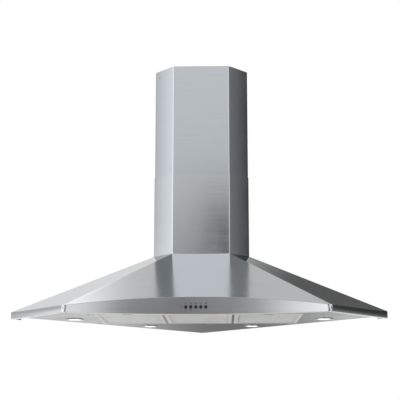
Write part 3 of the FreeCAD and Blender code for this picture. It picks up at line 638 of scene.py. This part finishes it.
def sweepRows(path, profile, inside):
    # profile of (depth, height) carried along a plan path, with mitred corners
    rows = []
    for number, point in enumerate(path):
        before = (point - path[max(number - 1, 0)]) or (path[1] - path[0])
        after = (path[min(number + 1, len(path) - 1)] - point) or (path[-1] - path[-2])
        before, after = before.normalized(), after.normalized()
        along = (before + after).normalized()
        inward = Vector((-along.y, along.x)) * inside / max(along.dot(before), 0.5)
        rows.append([Vector((point.x + inward.x * depth, point.y + inward.y * depth, height))
                     for depth, height in profile])
    return rows


def cornerPoint(sign):
    # middle of the skirt's rounded front corner
    turn = math.pi / 4
    inset = canopy["corner"] * (1 / math.cos(turn / 2) - 1)
    lean = math.pi / 2 - turn / 2
    return Vector((sign * (frontX - inset * math.cos(lean)), frontY + inset * math.sin(lean), hood["skirt"]))


def makeCanopy():
    form = bmesh.new()
    top, skirt = hood["top"], hood["skirt"]
    arc = span(-fasciaHalf, fasciaHalf, canopy["columns"])
    low = [Vector((x, fasciaYAt(x), slopeZAt(fasciaYAt(x)))) for x in arc]
    low = [cornerPoint(-1)] + low + [cornerPoint(1)]
    high = [Vector((chimneyX * point.x / low[-1].x, chimneyY, top)) for point in low]
    addGrid(form, [[a.lerp(b, part) for a, b in zip(low, high)] for part in span(0, 1, canopy["rows"])])
    wallX = hood["run"] / root2
    topWallX = hood["chimneyRun"] / root2
    back = Vector((0, hood["topLip"], 0))
    steps = span(0, 1, canopy["sideSteps"])
    for sign in (-1, 1):
        corner = cornerPoint(sign)
        wall = Vector((sign * wallX, -wallX, skirt))
        lipIn = Vector((-sign, 1, 0)).normalized() * hood["topLip"]
        topFront = Vector((sign * chimneyX, chimneyY, top))
        topWall = Vector((sign * topWallX, -topWallX, top))
        addGrid(form, [[corner.lerp(wall, part) for part in steps],
                       [topFront.lerp(topWall, part) for part in steps]])
        addGrid(form, [[topFront, topWall], [topFront + lipIn, topWall + lipIn]])
    topEdge = [Vector((-chimneyX, chimneyY, top)), Vector((chimneyX, chimneyY, top))]
    addGrid(form, [topEdge, [point + back for point in topEdge]])
    bmesh.ops.remove_doubles(form, verts=form.verts, dist=0.00001)
    for face in form.faces:
        if face.normal.dot(face.calc_center_median() - Vector(canopy["middle"])) < 0:
            face.normal_flip()
    form.normal_update()
    folds = [edge for edge in form.edges
             if len(edge.link_faces) == 2 and edge.calc_face_angle(0.0) > canopy["foldFrom"]]
    bmesh.ops.bevel(form, geom=folds, offset=hood["fold"], segments=canopy["foldSteps"], affect="EDGES",
                    profile=0.5, clamp_overlap=True)
    shell = meshPiece("canopyShell", form, "canopySteel", "hood", ["canopy"])
    thick = shell.modifiers.new("sheet", "SOLIDIFY")
    thick.thickness = hood["sheet"]
    thick.offset = -1.0


def makeCanopySkirt(name, sign):
    sheet, skirt, fold, brow = hood["sheet"], hood["skirt"], canopy["hemFold"], canopy["brow"]
    turns = quarterTurns(canopy["hemSteps"])
    profile = [(brow * share, skirt - drop) for share, drop in canopy["browShape"]] + [(0, canopy["faceFrom"])]
    profile += foldArc(fold, 0, turns) + [(hood["hem"], 0), (hood["hem"], sheet)]
    profile += foldArc(fold, sheet, turns[::-1])
    profile += [(sheet, skirt - canopy["skirtInside"]), (brow, skirt - canopy["browInside"])]
    wallX = hood["run"] / root2
    wall = Vector((sign * wallX, -wallX))
    alongWall = Vector((-sign, 1)).normalized()
    fromWall = Vector((-sign, -1)).normalized() * sheet / 2
    front = roundedCorner(wall + fromWall, Vector((sign * frontX, frontY)), Vector((sign * fasciaHalf, frontY)),
                          canopy["corner"])
    high = skirt - canopy["plateDrop"]
    plate = [(0, high), (0, 0), (sheet, 0), (sheet, high)]
    back = [wall + alongWall * hood["wallReturn"], wall + alongWall * canopy["plateInset"]]
    form = bmesh.new()
    addTube(form, sweepRows(front, profile, -sign))
    addTube(form, sweepRows(back, plate, -sign))
    tidyForm(form)
    brightenHem(meshPiece(name, form, "canopySteel", "hood"))


# fascia: bowed strip with a rounded lower fold, holes for the buttons and the pilot lamp
fascia = {
    "gap": 0.003,          # between the strip's ends and the corner posts
    "fold": 0.003,
    "tuck": 0.0012,        # how far the strip's top stays below the slope
    "columns": 220,
    "foldSteps": 4,
    "lowFace": 0.0062,     # from here down the face has rows of its own
    "pitch": 0.0181,
    "controlsX": -0.0056,
    "controlsZ": 0.0277,
    "buttonHole": 0.0068,
    "lensHole": 0.0019,
    "lensOffset": 0.016,
    "cut": (0.03, 40),     # depth and sides of the holes
}
buttonPlaces = [fascia["controlsX"] + fascia["pitch"] * (number - 2) for number in range(5)]
lensPlace = buttonPlaces[0] - fascia["lensOffset"]


def makeFascia():
    sheet, fold, lip = hood["sheet"], fascia["fold"], hood["hem"]
    turns = quarterTurns(fascia["foldSteps"])
    outer, inner = foldArc(fold, 0, turns), foldArc(fold, sheet, turns)
    form = bmesh.new()
    rows = []
    half = fasciaHalf - fascia["gap"]
    for x in span(-half, half, fascia["columns"]):
        surface = Vector((x, fasciaYAt(x), 0))
        into = (surface - Vector((0, fasciaCentreY, 0))).normalized()
        high = slopeZAt(surface.y) - fascia["tuck"]
        profile = [(0, high)] + [(0, z) for z in span(fascia["lowFace"], fold, 3)] + outer[1:]
        profile += [(lip, 0), (lip, sheet)] + inner[::-1] + [(sheet, high)]
        rows.append([surface + into * depth + Vector((0, 0, z)) for depth, z in profile])
    addTube(form, rows)
    tidyForm(form)
    holes = [(x, fascia["buttonHole"]) for x in buttonPlaces] + [(lensPlace, fascia["lensHole"])]
    cutters = []
    for x, radius in holes:
        place = Matrix.Translation((x, fasciaYAt(x), fascia["controlsZ"]))
        cutters.append(holeCutter(place @ Matrix.Rotation(math.pi / 2, 4, "X"), radius, *fascia["cut"]))
    strip = carved(form, cutters)
    brightenHem(meshPiece("fasciaStrip", strip, "fasciaSteel", "hood", ["fascia"]))


# chimney: two folded sections with slightly crowned faces, open at the wall
chimney = {
    "fold": 0.0046,
    "wallFold": 0.0015,
    "flange": 0.015,
    "frontCrown": 0.0014,
    "sideCrown": 0.0008,
    "crownSteps": 16,
    "foldSteps": 6,
    "rows": 24,
    "screwHole": (0.0021, 0.02, 24),    # radius, depth and sides
    "sections": {          # inset, body, node it stands for, and finish
        "lowerSection": (0.0, "hood", "lower_chimney", "lowerSteel"),
        "upperSection": (0.0015, "upper_chimney", "upper_chimney", "chimneySteel"),
    },
}


def foldedPath(inset):
    # plan of one section's outer face, from the left wall flange round the front to the right one
    y = chimneyY + inset
    x = (hood["chimneyRun"] - inset) * root2 + y
    wallX = (hood["chimneyRun"] - 2 * inset) / root2
    wall = Vector((wallX, -wallX - inset * root2))
    end = wall + Vector((-1, 1)).normalized() * chimney["flange"]
    right = [Vector((x, y)), wall, end]
    corners = [Vector((-point.x, point.y)) for point in right[::-1]] + right
    crowns = [0.0, chimney["sideCrown"], chimney["frontCrown"], chimney["sideCrown"], 0.0]
    radii = [chimney["wallFold"], chimney["fold"], chimney["fold"], chimney["wallFold"]]
    ways = [(after - before).normalized() for before, after in zip(corners, corners[1:])]
    turns = [first.angle(second) for first, second in zip(ways, ways[1:])]
    trims = [0.0] + [radius * math.tan(turn / 2) for radius, turn in zip(radii, turns)] + [0.0]
    path = []
    for number, along in enumerate(ways):
        outward = Vector((along.y, -along.x))
        crown = crowns[number]
        first = corners[number] + along * trims[number]
        last = corners[number + 1] - along * trims[number + 1]
        for part in span(0, 1, chimney["crownSteps"] if crown else 1):
            path.append(first.lerp(last, part) + outward * crown * (1 - (2 * part - 1) ** 2))
        if number < len(radii):
            centre = last - outward * radii[number]
            for part in span(0, 1, chimney["foldSteps"])[1:-1]:
                spoke = outward * radii[number]
                spoke.rotate(Matrix.Rotation(turns[number] * part, 2))
                path.append(centre + spoke)
    return path


def makeChimneySection(name, inset, body, node, finish):
    low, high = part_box(node)
    path = foldedPath(inset)
    heights = span(low.z, high.z, chimney["rows"])
    form = bmesh.new()
    loops = []
    for number, point in enumerate(path):
        along = (path[min(number + 1, len(path) - 1)] - path[max(number - 1, 0)]).normalized()
        inside = point + Vector((-along.y, along.x)) * hood["sheet"]
        loops.append([Vector((*point, z)) for z in heights] + [Vector((*inside, z)) for z in heights[::-1]])
    addTube(form, loops)
    tidyForm(form)
    if body == "upper_chimney":
        cutters = []
        for boxLow, boxHigh in islandBoxes("chimney_screws"):
            middle = (boxLow + boxHigh) / 2
            outward = Vector((math.copysign(1, middle.x), -1, 0)).normalized()
            cutters.append(holeCutter(aimed(middle, outward), *chimney["screwHole"]))
        form = carved(form, cutters)
    meshPiece(name, form, finish, body, [node])


makeCanopy()
makeCanopySkirt("skirtLeft", -1)
makeCanopySkirt("skirtRight", 1)
makeFascia()
for sectionName, section in chimney["sections"].items():
    makeChimneySection(sectionName, *section)
print("canopy, fascia and chimney made")


# filters: each pack is a pleated sheet behind a face of expanded mesh
pack = {
    "pleats": 24,
    "fold": 0.0044,
    "sheet": 0.0006,
    "pitchAlong": 0.0098,     # one diamond, along X
    "pitchDeep": 0.0046,      # one diamond, front to back
    "strand": 0.0019,
    "strandThick": 0.00025,
    "edge": 0.0004,
    "lift": 2.2,              # the pleats lie this many strands above the face
}


def makeFilterPack(side):
    low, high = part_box("filter_mesh_" + side)
    form = bmesh.new()
    strand, thick, edge = pack["strand"], pack["strandThick"], pack["edge"]
    columns = round((high.x - low.x) / pack["pitchAlong"])
    rows = round((high.y - low.y) / pack["pitchDeep"])
    stepX = (high.x - low.x - 2 * edge) / columns / 2
    stepY = (high.y - low.y - 2 * edge - 2 * strand) / rows
    for row in range(rows):
        middle = low.y + edge + strand + (row + 0.5) * stepY
        strip = []
        for half in (-0.5, 0.5):
            line = []
            for column in range(2 * columns + 1):
                way = 1 if (row + column) % 2 == 0 else -1
                line.append(Vector((low.x + edge + column * stepX, middle + way * (stepY - strand) / 2
                                    + half * strand, low.z + thick * (0.5 + 0.5 * way))))
            strip.append(line)
        addGrid(form, strip)
    made = form.faces[:]
    for face in made:
        face.normal_update()
        if face.normal.z > 0:
            face.normal_flip()
    bmesh.ops.solidify(form, geom=made, thickness=-thick)
    line = []
    for number in range(2 * pack["pleats"] + 1):
        x = low.x + (high.x - low.x) * number / (2 * pack["pleats"])
        line.append(Vector((x, 0, low.z + pack["lift"] * thick + (pack["fold"] if number % 2 else 0))))
    loop = line + [point + Vector((0, 0, pack["sheet"])) for point in line[::-1]]
    addTube(form, [[point + Vector((0, y, 0)) for point in loop] for y in (low.y, high.y)])
    tidyForm(form, 0.000002)
    meshPiece("filterPack_" + side, form, "meshAluminium", "filter_" + side,
              ["filter_mesh_" + side])


# buttons: bright rim, crowned cap with its crown laid on the slant, its near-black tone a painted dark
# reflection
button = {
    "cap": 0.0056,
    "crown": 0.0125,
    "slant": 50.0,
    "rings": 8,
    "steps": 40,
    "darkRows": 2,
    "rim": [               # radius and depth, from the cap's edge over the bright rim to the side
        (0.0056, 0.0021), (0.0058, 0.0021), (0.00585, 0.0014), (0.006, 0.0011), (0.0062, 0.001),
        (0.0064, 0.0011), (0.0065, 0.0014),
    ],
    "radius": 0.0065,
    "stem": 0.0012,
}


def makeButton(number):
    name = "button_%d" % number
    low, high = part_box(name)
    centre = Vector(((low.x + high.x) / 2, low.y, (low.z + high.z) / 2))
    slant, crown, steps = math.radians(button["slant"]), button["crown"], button["steps"]
    along, into, up = Vector((1, 0, 0)), Vector((0, 1, 0)), Vector((0, 0, 1))

    def sunk(point):
        across = (point.z - centre.z) * math.cos(slant) - (point.x - centre.x) * math.sin(slant)
        return point + into * (crown - math.sqrt(crown ** 2 - across ** 2))

    form = bmesh.new()
    rings = []
    for part in range(1, button["rings"] + 1):
        ring = ringOf(centre, along, up, button["cap"] * part / button["rings"], steps)
        rings.append([sunk(point) for point in ring])
    made = addGrid(form, rings)
    middle = form.verts.new(centre)
    for first, second in zip(made[0], made[0][1:]):
        form.faces.new((middle, first, second))
    dark = len(form.faces) + button["darkRows"] * steps
    length = high.y - low.y
    profile = button["rim"] + [(button["radius"], length), (button["stem"], length)]
    walls = [ringOf(centre + into * depth, along, up, radius, steps) for radius, depth in profile]
    form.faces.new(addGrid(form, [rings[-1]] + walls)[-1][:-1])
    form.faces.ensure_lookup_table()
    for face in form.faces[dark:]:
        face.material_index = 1
    tidyForm(form, 0.000002)
    piece = meshPiece("pushButton_%d" % number, form, "paintedReflectionChrome", name, [name])
    piece.data.materials.append(finishes["ringChrome"])


# printed signs round the buttons: plain strokes, each from one end to the other
signs = {
    "rise": 0.0118,
    "thick": 0.00008,
    "strokes": {
        1: [(-0.0029, 0.0003, 0.0029, 0.0003)],
        2: [(-0.0021, -0.0018, -0.0021, 0.0018), (0.0021, -0.0018, 0.0021, 0.0018)],
        3: [(-0.0031, -0.0016, -0.0031, 0.0016), (0.0, -0.0016, 0.0, 0.0016), (0.0031, -0.0016, 0.0031, 0.0016)],
        4: [(-0.0028, -0.0017, 0.0028, 0.0017)],
        5: [(-0.0031, -0.0016, 0.0, 0.0018), (0.0, 0.0018, 0.0031, -0.0016)],
    },
    "below": [1, 2],       # buttons with a sign below them as well
    "width": 0.0019,
}


def makeSigns():
    form = bmesh.new()
    places = [(number, 1) for number in signs["strokes"]] + [(number, -1) for number in signs["below"]]
    for number, side in places:
        centreX = buttonPlaces[number - 1]
        centreZ = fascia["controlsZ"] + signs["rise"] * side
        for x0, z0, x1, z1 in signs["strokes"][number]:
            along = Vector((x1 - x0, z1 - z0)).normalized()
            aside = Vector((-along.y, along.x)) * signs["width"] / 2
            corners = [(centreX + x + aside.x * way, centreZ + z + aside.y * way)
                       for x, z, way in ((x0, z0, -1), (x1, z1, -1), (x1, z1, 1), (x0, z0, 1))]
            addTube(form, [[Vector((x, fasciaYAt(x) - proud, z)) for x, z in corners]
                           for proud in (signs["thick"], 0)])
    tidyForm(form, 0.000001)
    meshPiece("buttonSigns", form, "printedBlack", "hood")


# screws with a cross recess
screw = {
    "rise": 0.0014,
    "shank": 0.0015,
    "shankShare": 0.6,     # of the head's radius, at most
    "steps": 28,
    "head": [(0.55, 0.0429), (0.88, 0.35), (1, 0.8), (1, 1)],    # shares of the head's radius and rise
    "recess": (1.25, 0.3),    # length and width, as shares of the head's radius
    "recessDepth": 0.0009,
    "recessTurn": 0.4,
    "tip": 0.00001,
}


def screwForm(headRadius, shankRadius, length):
    # head down at z 0, shank up along Z
    rise, tip = screw["rise"], screw["tip"]
    form = bmesh.new()
    profile = [(tip, 0.0)] + [(headRadius * out, rise * up) for out, up in screw["head"]]
    profile += [(shankRadius, rise), (shankRadius, length - shankRadius), (tip, length)]
    addSpun(form, profile, Vector(), screw["steps"])
    tidyForm(form, 0.00002)
    cutters = []
    for turn in (0, math.pi / 2):
        cutter = bmesh.new()
        bmesh.ops.create_cube(cutter, size=1.0)
        long, wide = screw["recess"]
        sizes = Matrix.Diagonal((headRadius * long, headRadius * wide, screw["recessDepth"] * 2, 1))
        turned = Matrix.Rotation(turn + screw["recessTurn"], 4, "Z") @ sizes
        bmesh.ops.transform(cutter, matrix=turned, verts=cutter.verts)
        cutters.append(cutter)
    return carved(form, cutters)


def makeScrews(node, body, axisOf):
    form = bmesh.new()
    for low, high in islandBoxes(node):
        middle, size = (low + high) / 2, high - low
        inward = axisOf(middle).normalized()
        upright = abs(inward.z) > 0.5
        radius = (size.x if upright else size.z) / 2
        length = size.z
        if not upright:
            length = (size.x * abs(inward.x) + size.y * abs(inward.y)
                      - 4 * radius * abs(inward.x * inward.y))
        single = screwForm(radius, min(screw["shank"], radius * screw["shankShare"]), length)
        place = aimed(middle - inward * length / 2, inward)
        bmesh.ops.transform(single, matrix=place, verts=single.verts)
        part = bpy.data.meshes.new("part")
        single.to_mesh(part)
        single.free()
        form.from_mesh(part)
        bpy.data.meshes.remove(part)
    meshPiece(node + "_crossHead", form, "turnedSteel", body, [node])


for side in sides:
    makeFilterPack(side)
for number in buttonNumbers:
    makeButton(number)
makeSigns()
makeScrews("underside_screws", "hood", lambda middle: Vector((0, 0, 1)))
makeScrews("chimney_screws", "upper_chimney", lambda middle: Vector((-math.copysign(1, middle.x), 1, 0)))
print("filter packs, buttons and screws made")


# lamps: pressed trim ring whose outer band is black, a painted shadow in the gap to the panel, cup with its
# holder, and two spring clips, in millimetres
lampTrim = {
    "turns": 64,
    "profile": [            # radius and height, from the black band of painted shadow round the trim and up the cup
        (34.2, 9.6), (34.2, 8.7), (35.0, 8.55), (34.95, 7.9), (34.4, 7.35), (33.3, 7.1), (31.8, 7.2),
        (30.2, 7.45), (28.6, 7.2), (27.2, 7.1), (26.6, 7.25), (25.6, 7.7), (24.6, 8.05), (24.0, 8.3),
        (26.6, 8.3), (26.7, 50.4), (9.0, 50.4), (9.0, 38.6), (8.8, 38.4), (0.01, 38.4), (0.01, 51.6),
        (27.6, 51.6), (28.0, 51.2), (28.0, 9.6), (34.2, 9.6),
    ],
    "clip": [(27.4, 25.0), (38.0, 11.0), (41.0, 14.0)],
    "clipHalf": 4.0,
    "clipSheet": 0.8,
}


def makeLampTrim(number):
    low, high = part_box("lamp_glass_%d" % number)
    centre = Vector(((low.x + high.x) / 2, (low.y + high.y) / 2, 0))
    form = bmesh.new()
    profile = [(radius / 1000, height / 1000) for radius, height in lampTrim["profile"]]
    addSpun(form, profile, centre, lampTrim["turns"])
    # the first ring of faces takes black rubber: painted shadow in the gap between trim and panel
    form.faces.ensure_lookup_table()
    for face in form.faces[:lampTrim["turns"]]:
        face.material_index = 1
    half, sheet = lampTrim["clipHalf"] / 1000, lampTrim["clipSheet"] / 1000
    for way in (-1, 1):
        leaf = [centre + Vector((0, way * reach / 1000, height / 1000)) for reach, height in lampTrim["clip"]]
        loop = leaf + [point + Vector((0, 0, sheet)) for point in leaf[::-1]]
        addTube(form, [[point + Vector((aside, 0, 0)) for point in loop] for aside in (-half, half)])
    tidyForm(form)
    piece = meshPiece("lampTrim_%d" % number, form, "polishedChrome", "hood",
                      ["lamp_fitting_%d" % number])
    piece.data.materials.append(finishes["blackRubber"])


# a narrow bead round each filter's frame, in a brighter finish that paints a highlight line along it
bead = {
    "inset": 0.0012,
    "half": 0.0009,
    "proud": 0.0006,
    "section": [           # shares of half and proud
        (-1, 0), (-0.7, 0.7), (0, 1), (0.7, 0.7), (1, 0), (0, -0.5), (-1, 0),
    ],
}


def makeFilterBead(side):
    low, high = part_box("filter_frame_" + side)
    form = bmesh.new()
    rows = []
    for out, rise in bead["section"]:
        grow = bead["inset"] - out * bead["half"]
        x0, x1, y0, y1 = low.x + grow, high.x - grow, low.y + grow, high.y - grow
        z = low.z - rise * bead["proud"]
        rows.append([Vector((x, y, z)) for x, y in ((x0, y0), (x1, y0), (x1, y1), (x0, y1), (x0, y0))])
    addGrid(form, rows)
    tidyForm(form)
    meshPiece("filterBead_" + side, form, "paintedHighlightEdge", "filter_" + side)


for number in lampNumbers:
    makeLampTrim(number)
for side in sides:
    makeFilterBead(side)
print("lamps and filter beads made")


# studio: a white room with a few soft cards for the steel to show
# each card: azimuth from the front towards +X, elevation, half sizes and softness in degrees, and its level
studio = {
    "roomLevel": 0.80,
    "fillLevel": 0.55,
    "cards": {
        "softboxHigh": (0, 50, 50, 22, 10, 1.16),
        "backHigh": (-178, 6, 42, 20, 5, 0.62),
        "sideLeftHigh": (-90, 30, 44, 14, 8, 0.32),
        "sideRightHigh": (90, 30, 44, 14, 8, 0.47),
        "backHighlight": (-167.5, 2.5, 42, 6, 3, 1.45),
        "counterBand": (2, 20, -6, 16, 8, 0.22),
        "leftSide": (-88, 24, 0, 27, 6, 1.12),
        "leftFall": (-125, 31, 18, 12, 5, 0.60),
        "leftSideLow": (-88, 24, 0, 8, 4, 1.25),
        "leftFallLow": (-132, 32, 0, 8, 3, 0.50),
        "windowLeft": (-50, 21, 5, 45, 12, 1.52),
        "windowRight": (36, 10, 0, 40, 8, 1.20),
        "darkRight": (115, 56, 0, 42, 12, 0.26),
        "darkRightEnd": (112, 21, 18, 12, 5, 0.04),
        "darkRightLow": (121, 22, 0, 8, 2, 0.06),
        "stripLeft": (-62, 9, 15, 12, 5, 2.2),
        "stripRight": (54, 7, 19, 8, 3, 2.2),
        "darkBackRight": (160, 15, 20, 14, 4, 0.11),
        "brightBackLow": (180, 15, -12, 16, 5, 0.88),
        "darkBackLow": (179.6, 5.0, -12, 14, 4, 0.22),
        "doorway": (2.4, 3.2, 10.6, 2.2, 2.0, 0.0),
    },
}


def makeCardGroup():
    group, given, result = startGroup("softCard", [
        ("Azimuth", "value", 0.0), ("Elevation", "value", 0.0), ("Under", "value", 1.0),
        ("Card Azimuth", "value", 0.0), ("Half Width", "value", 10.0), ("Card Elevation", "value", 0.0),
        ("Half Height", "value", 10.0), ("Softness", "value", 5.0), ("Level", "value", 1.0),
    ], [("Value", "value")])
    aside = calc(group, "ABSOLUTE", calc(group, "WRAP", calc(group, "SUBTRACT", given["Azimuth"],
                                                            given["Card Azimuth"]), -180.0, 180.0))
    above = calc(group, "ABSOLUTE", calc(group, "SUBTRACT", given["Elevation"], given["Card Elevation"]))
    masks = []
    for offset, half in ((aside, given["Half Width"]), (above, given["Half Height"])):
        edge = calc(group, "DIVIDE", calc(group, "SUBTRACT", offset, half), given["Softness"])
        masks.append(remap(group, edge, -1.0, 1.0, 1.0, 0.0, True))
    mask = calc(group, "MULTIPLY", *masks)
    feed(group, result["Value"], remap(group, mask, 0.0, 1.0, given["Under"], given["Level"]))
    return group


def makeWorld():
    world = bpy.data.worlds.new("studio")
    world.use_nodes = True
    scene.world = world
    tree = world.node_tree
    split = addNode(tree, "ShaderNodeSeparateXYZ")
    feed(tree, split.inputs[0], addNode(tree, "ShaderNodeTexCoord").outputs["Generated"])
    x, y, z = split.outputs
    azimuth = calc(tree, "DEGREES", calc(tree, "ARCTAN2", x, calc(tree, "MULTIPLY", y, -1.0)))
    elevation = calc(tree, "DEGREES", calc(tree, "ARCSINE", z))
    cardGroup = makeCardGroup()
    labels = ("Card Azimuth", "Half Width", "Card Elevation", "Half Height", "Softness", "Level")
    level = studio["roomLevel"]
    for card in studio["cards"].values():
        given = dict(zip(labels, card), Azimuth=azimuth, Elevation=elevation, Under=level)
        level = useGroup(tree, cardGroup, given).outputs["Value"]
    ray = addNode(tree, "ShaderNodeLightPath")
    mirrored = calc(tree, "MAXIMUM", ray.outputs["Is Glossy Ray"], ray.outputs["Is Transmission Ray"])
    seen = remap(tree, mirrored, 0.0, 1.0, studio["fillLevel"], level)
    strength = remap(tree, ray.outputs["Is Camera Ray"], 0.0, 1.0, seen, 1.0)
    feed(tree, tree.nodes["Background"].inputs["Strength"], strength)
    feed(tree, tree.nodes["Background"].inputs["Color"], (1, 1, 1, 1))


# lamps: place, size and watts of each, all turned to the middle of the hood
lamps = {
    "key": ((-2.6, -3.2, 2.4), 2.2, 55.0),
    "fill": ((2.8, -2.4, 1.6), 2.4, 18.0),
    "top": ((0.0, 0.6, 3.4), 2.6, 30.0),
}


def makeLamps():
    middle = Vector((0.0, -0.45, 0.4))
    for name, (place, size, watts) in lamps.items():
        data = bpy.data.lights.new(name, "AREA")
        data.size = size
        data.energy = watts
        light = bpy.data.objects.new(name, data)
        light.location = place
        light.rotation_mode = "QUATERNION"
        light.rotation_quaternion = (middle - light.location).to_track_quat("-Z", "Y")
        light.visible_glossy = False
        scene.collection.objects.link(light)


floorPlan = {
    "place": (0.0, -0.47, -1.5),
    "radius": 9.0,
    "segments": 96,
    "fadeFrom": 2.4,       # the floor fades into the white room
    "fadeTo": 4.5,
    "tone": (0.82, 0.82, 0.81, 1),
    "speckTone": (0.7, 0.7, 0.7, 1),
}


def makeFloor():
    form = bmesh.new()
    bmesh.ops.create_circle(form, cap_ends=True, radius=floorPlan["radius"], segments=floorPlan["segments"])
    mesh = bpy.data.meshes.new("floor")
    form.to_mesh(mesh)
    form.free()
    floor = bpy.data.objects.new("floor", mesh)
    floor.location = floorPlan["place"]
    scene.collection.objects.link(floor)
    material, tree, shader = startMaterial("paleFloor", Roughness=0.8)
    speck = remap(tree, noiseAt(tree, stretched(tree, (1, 1, 1)), 30.0, 4.0), 0.3, 0.7, 0.0, 0.05)
    feed(tree, shader.inputs["Base Color"], blendColor(tree, speck, floorPlan["tone"], floorPlan["speckTone"]))
    far = addNode(tree, "ShaderNodeVectorMath", operation="LENGTH")
    feed(tree, far.inputs[0], addNode(tree, "ShaderNodeTexCoord").outputs["Object"])
    faded = remap(tree, far.outputs["Value"], floorPlan["fadeFrom"], floorPlan["fadeTo"], 0.0, 1.0, True)
    under = addNode(tree, "ShaderNodeNewGeometry").outputs["Backfacing"]    # open from below
    clear = addNode(tree, "ShaderNodeBsdfTransparent")
    mix = addNode(tree, "ShaderNodeMixShader")
    feed(tree, mix.inputs[0], calc(tree, "MAXIMUM", faded, under))
    feed(tree, mix.inputs[1], shader.outputs[0])
    feed(tree, mix.inputs[2], clear.outputs[0])
    feed(tree, tree.nodes["Material Output"].inputs["Surface"], mix.outputs[0])
    mesh.materials.append(material)


makeWorld()
makeLamps()
makeFloor()
print("studio ready")
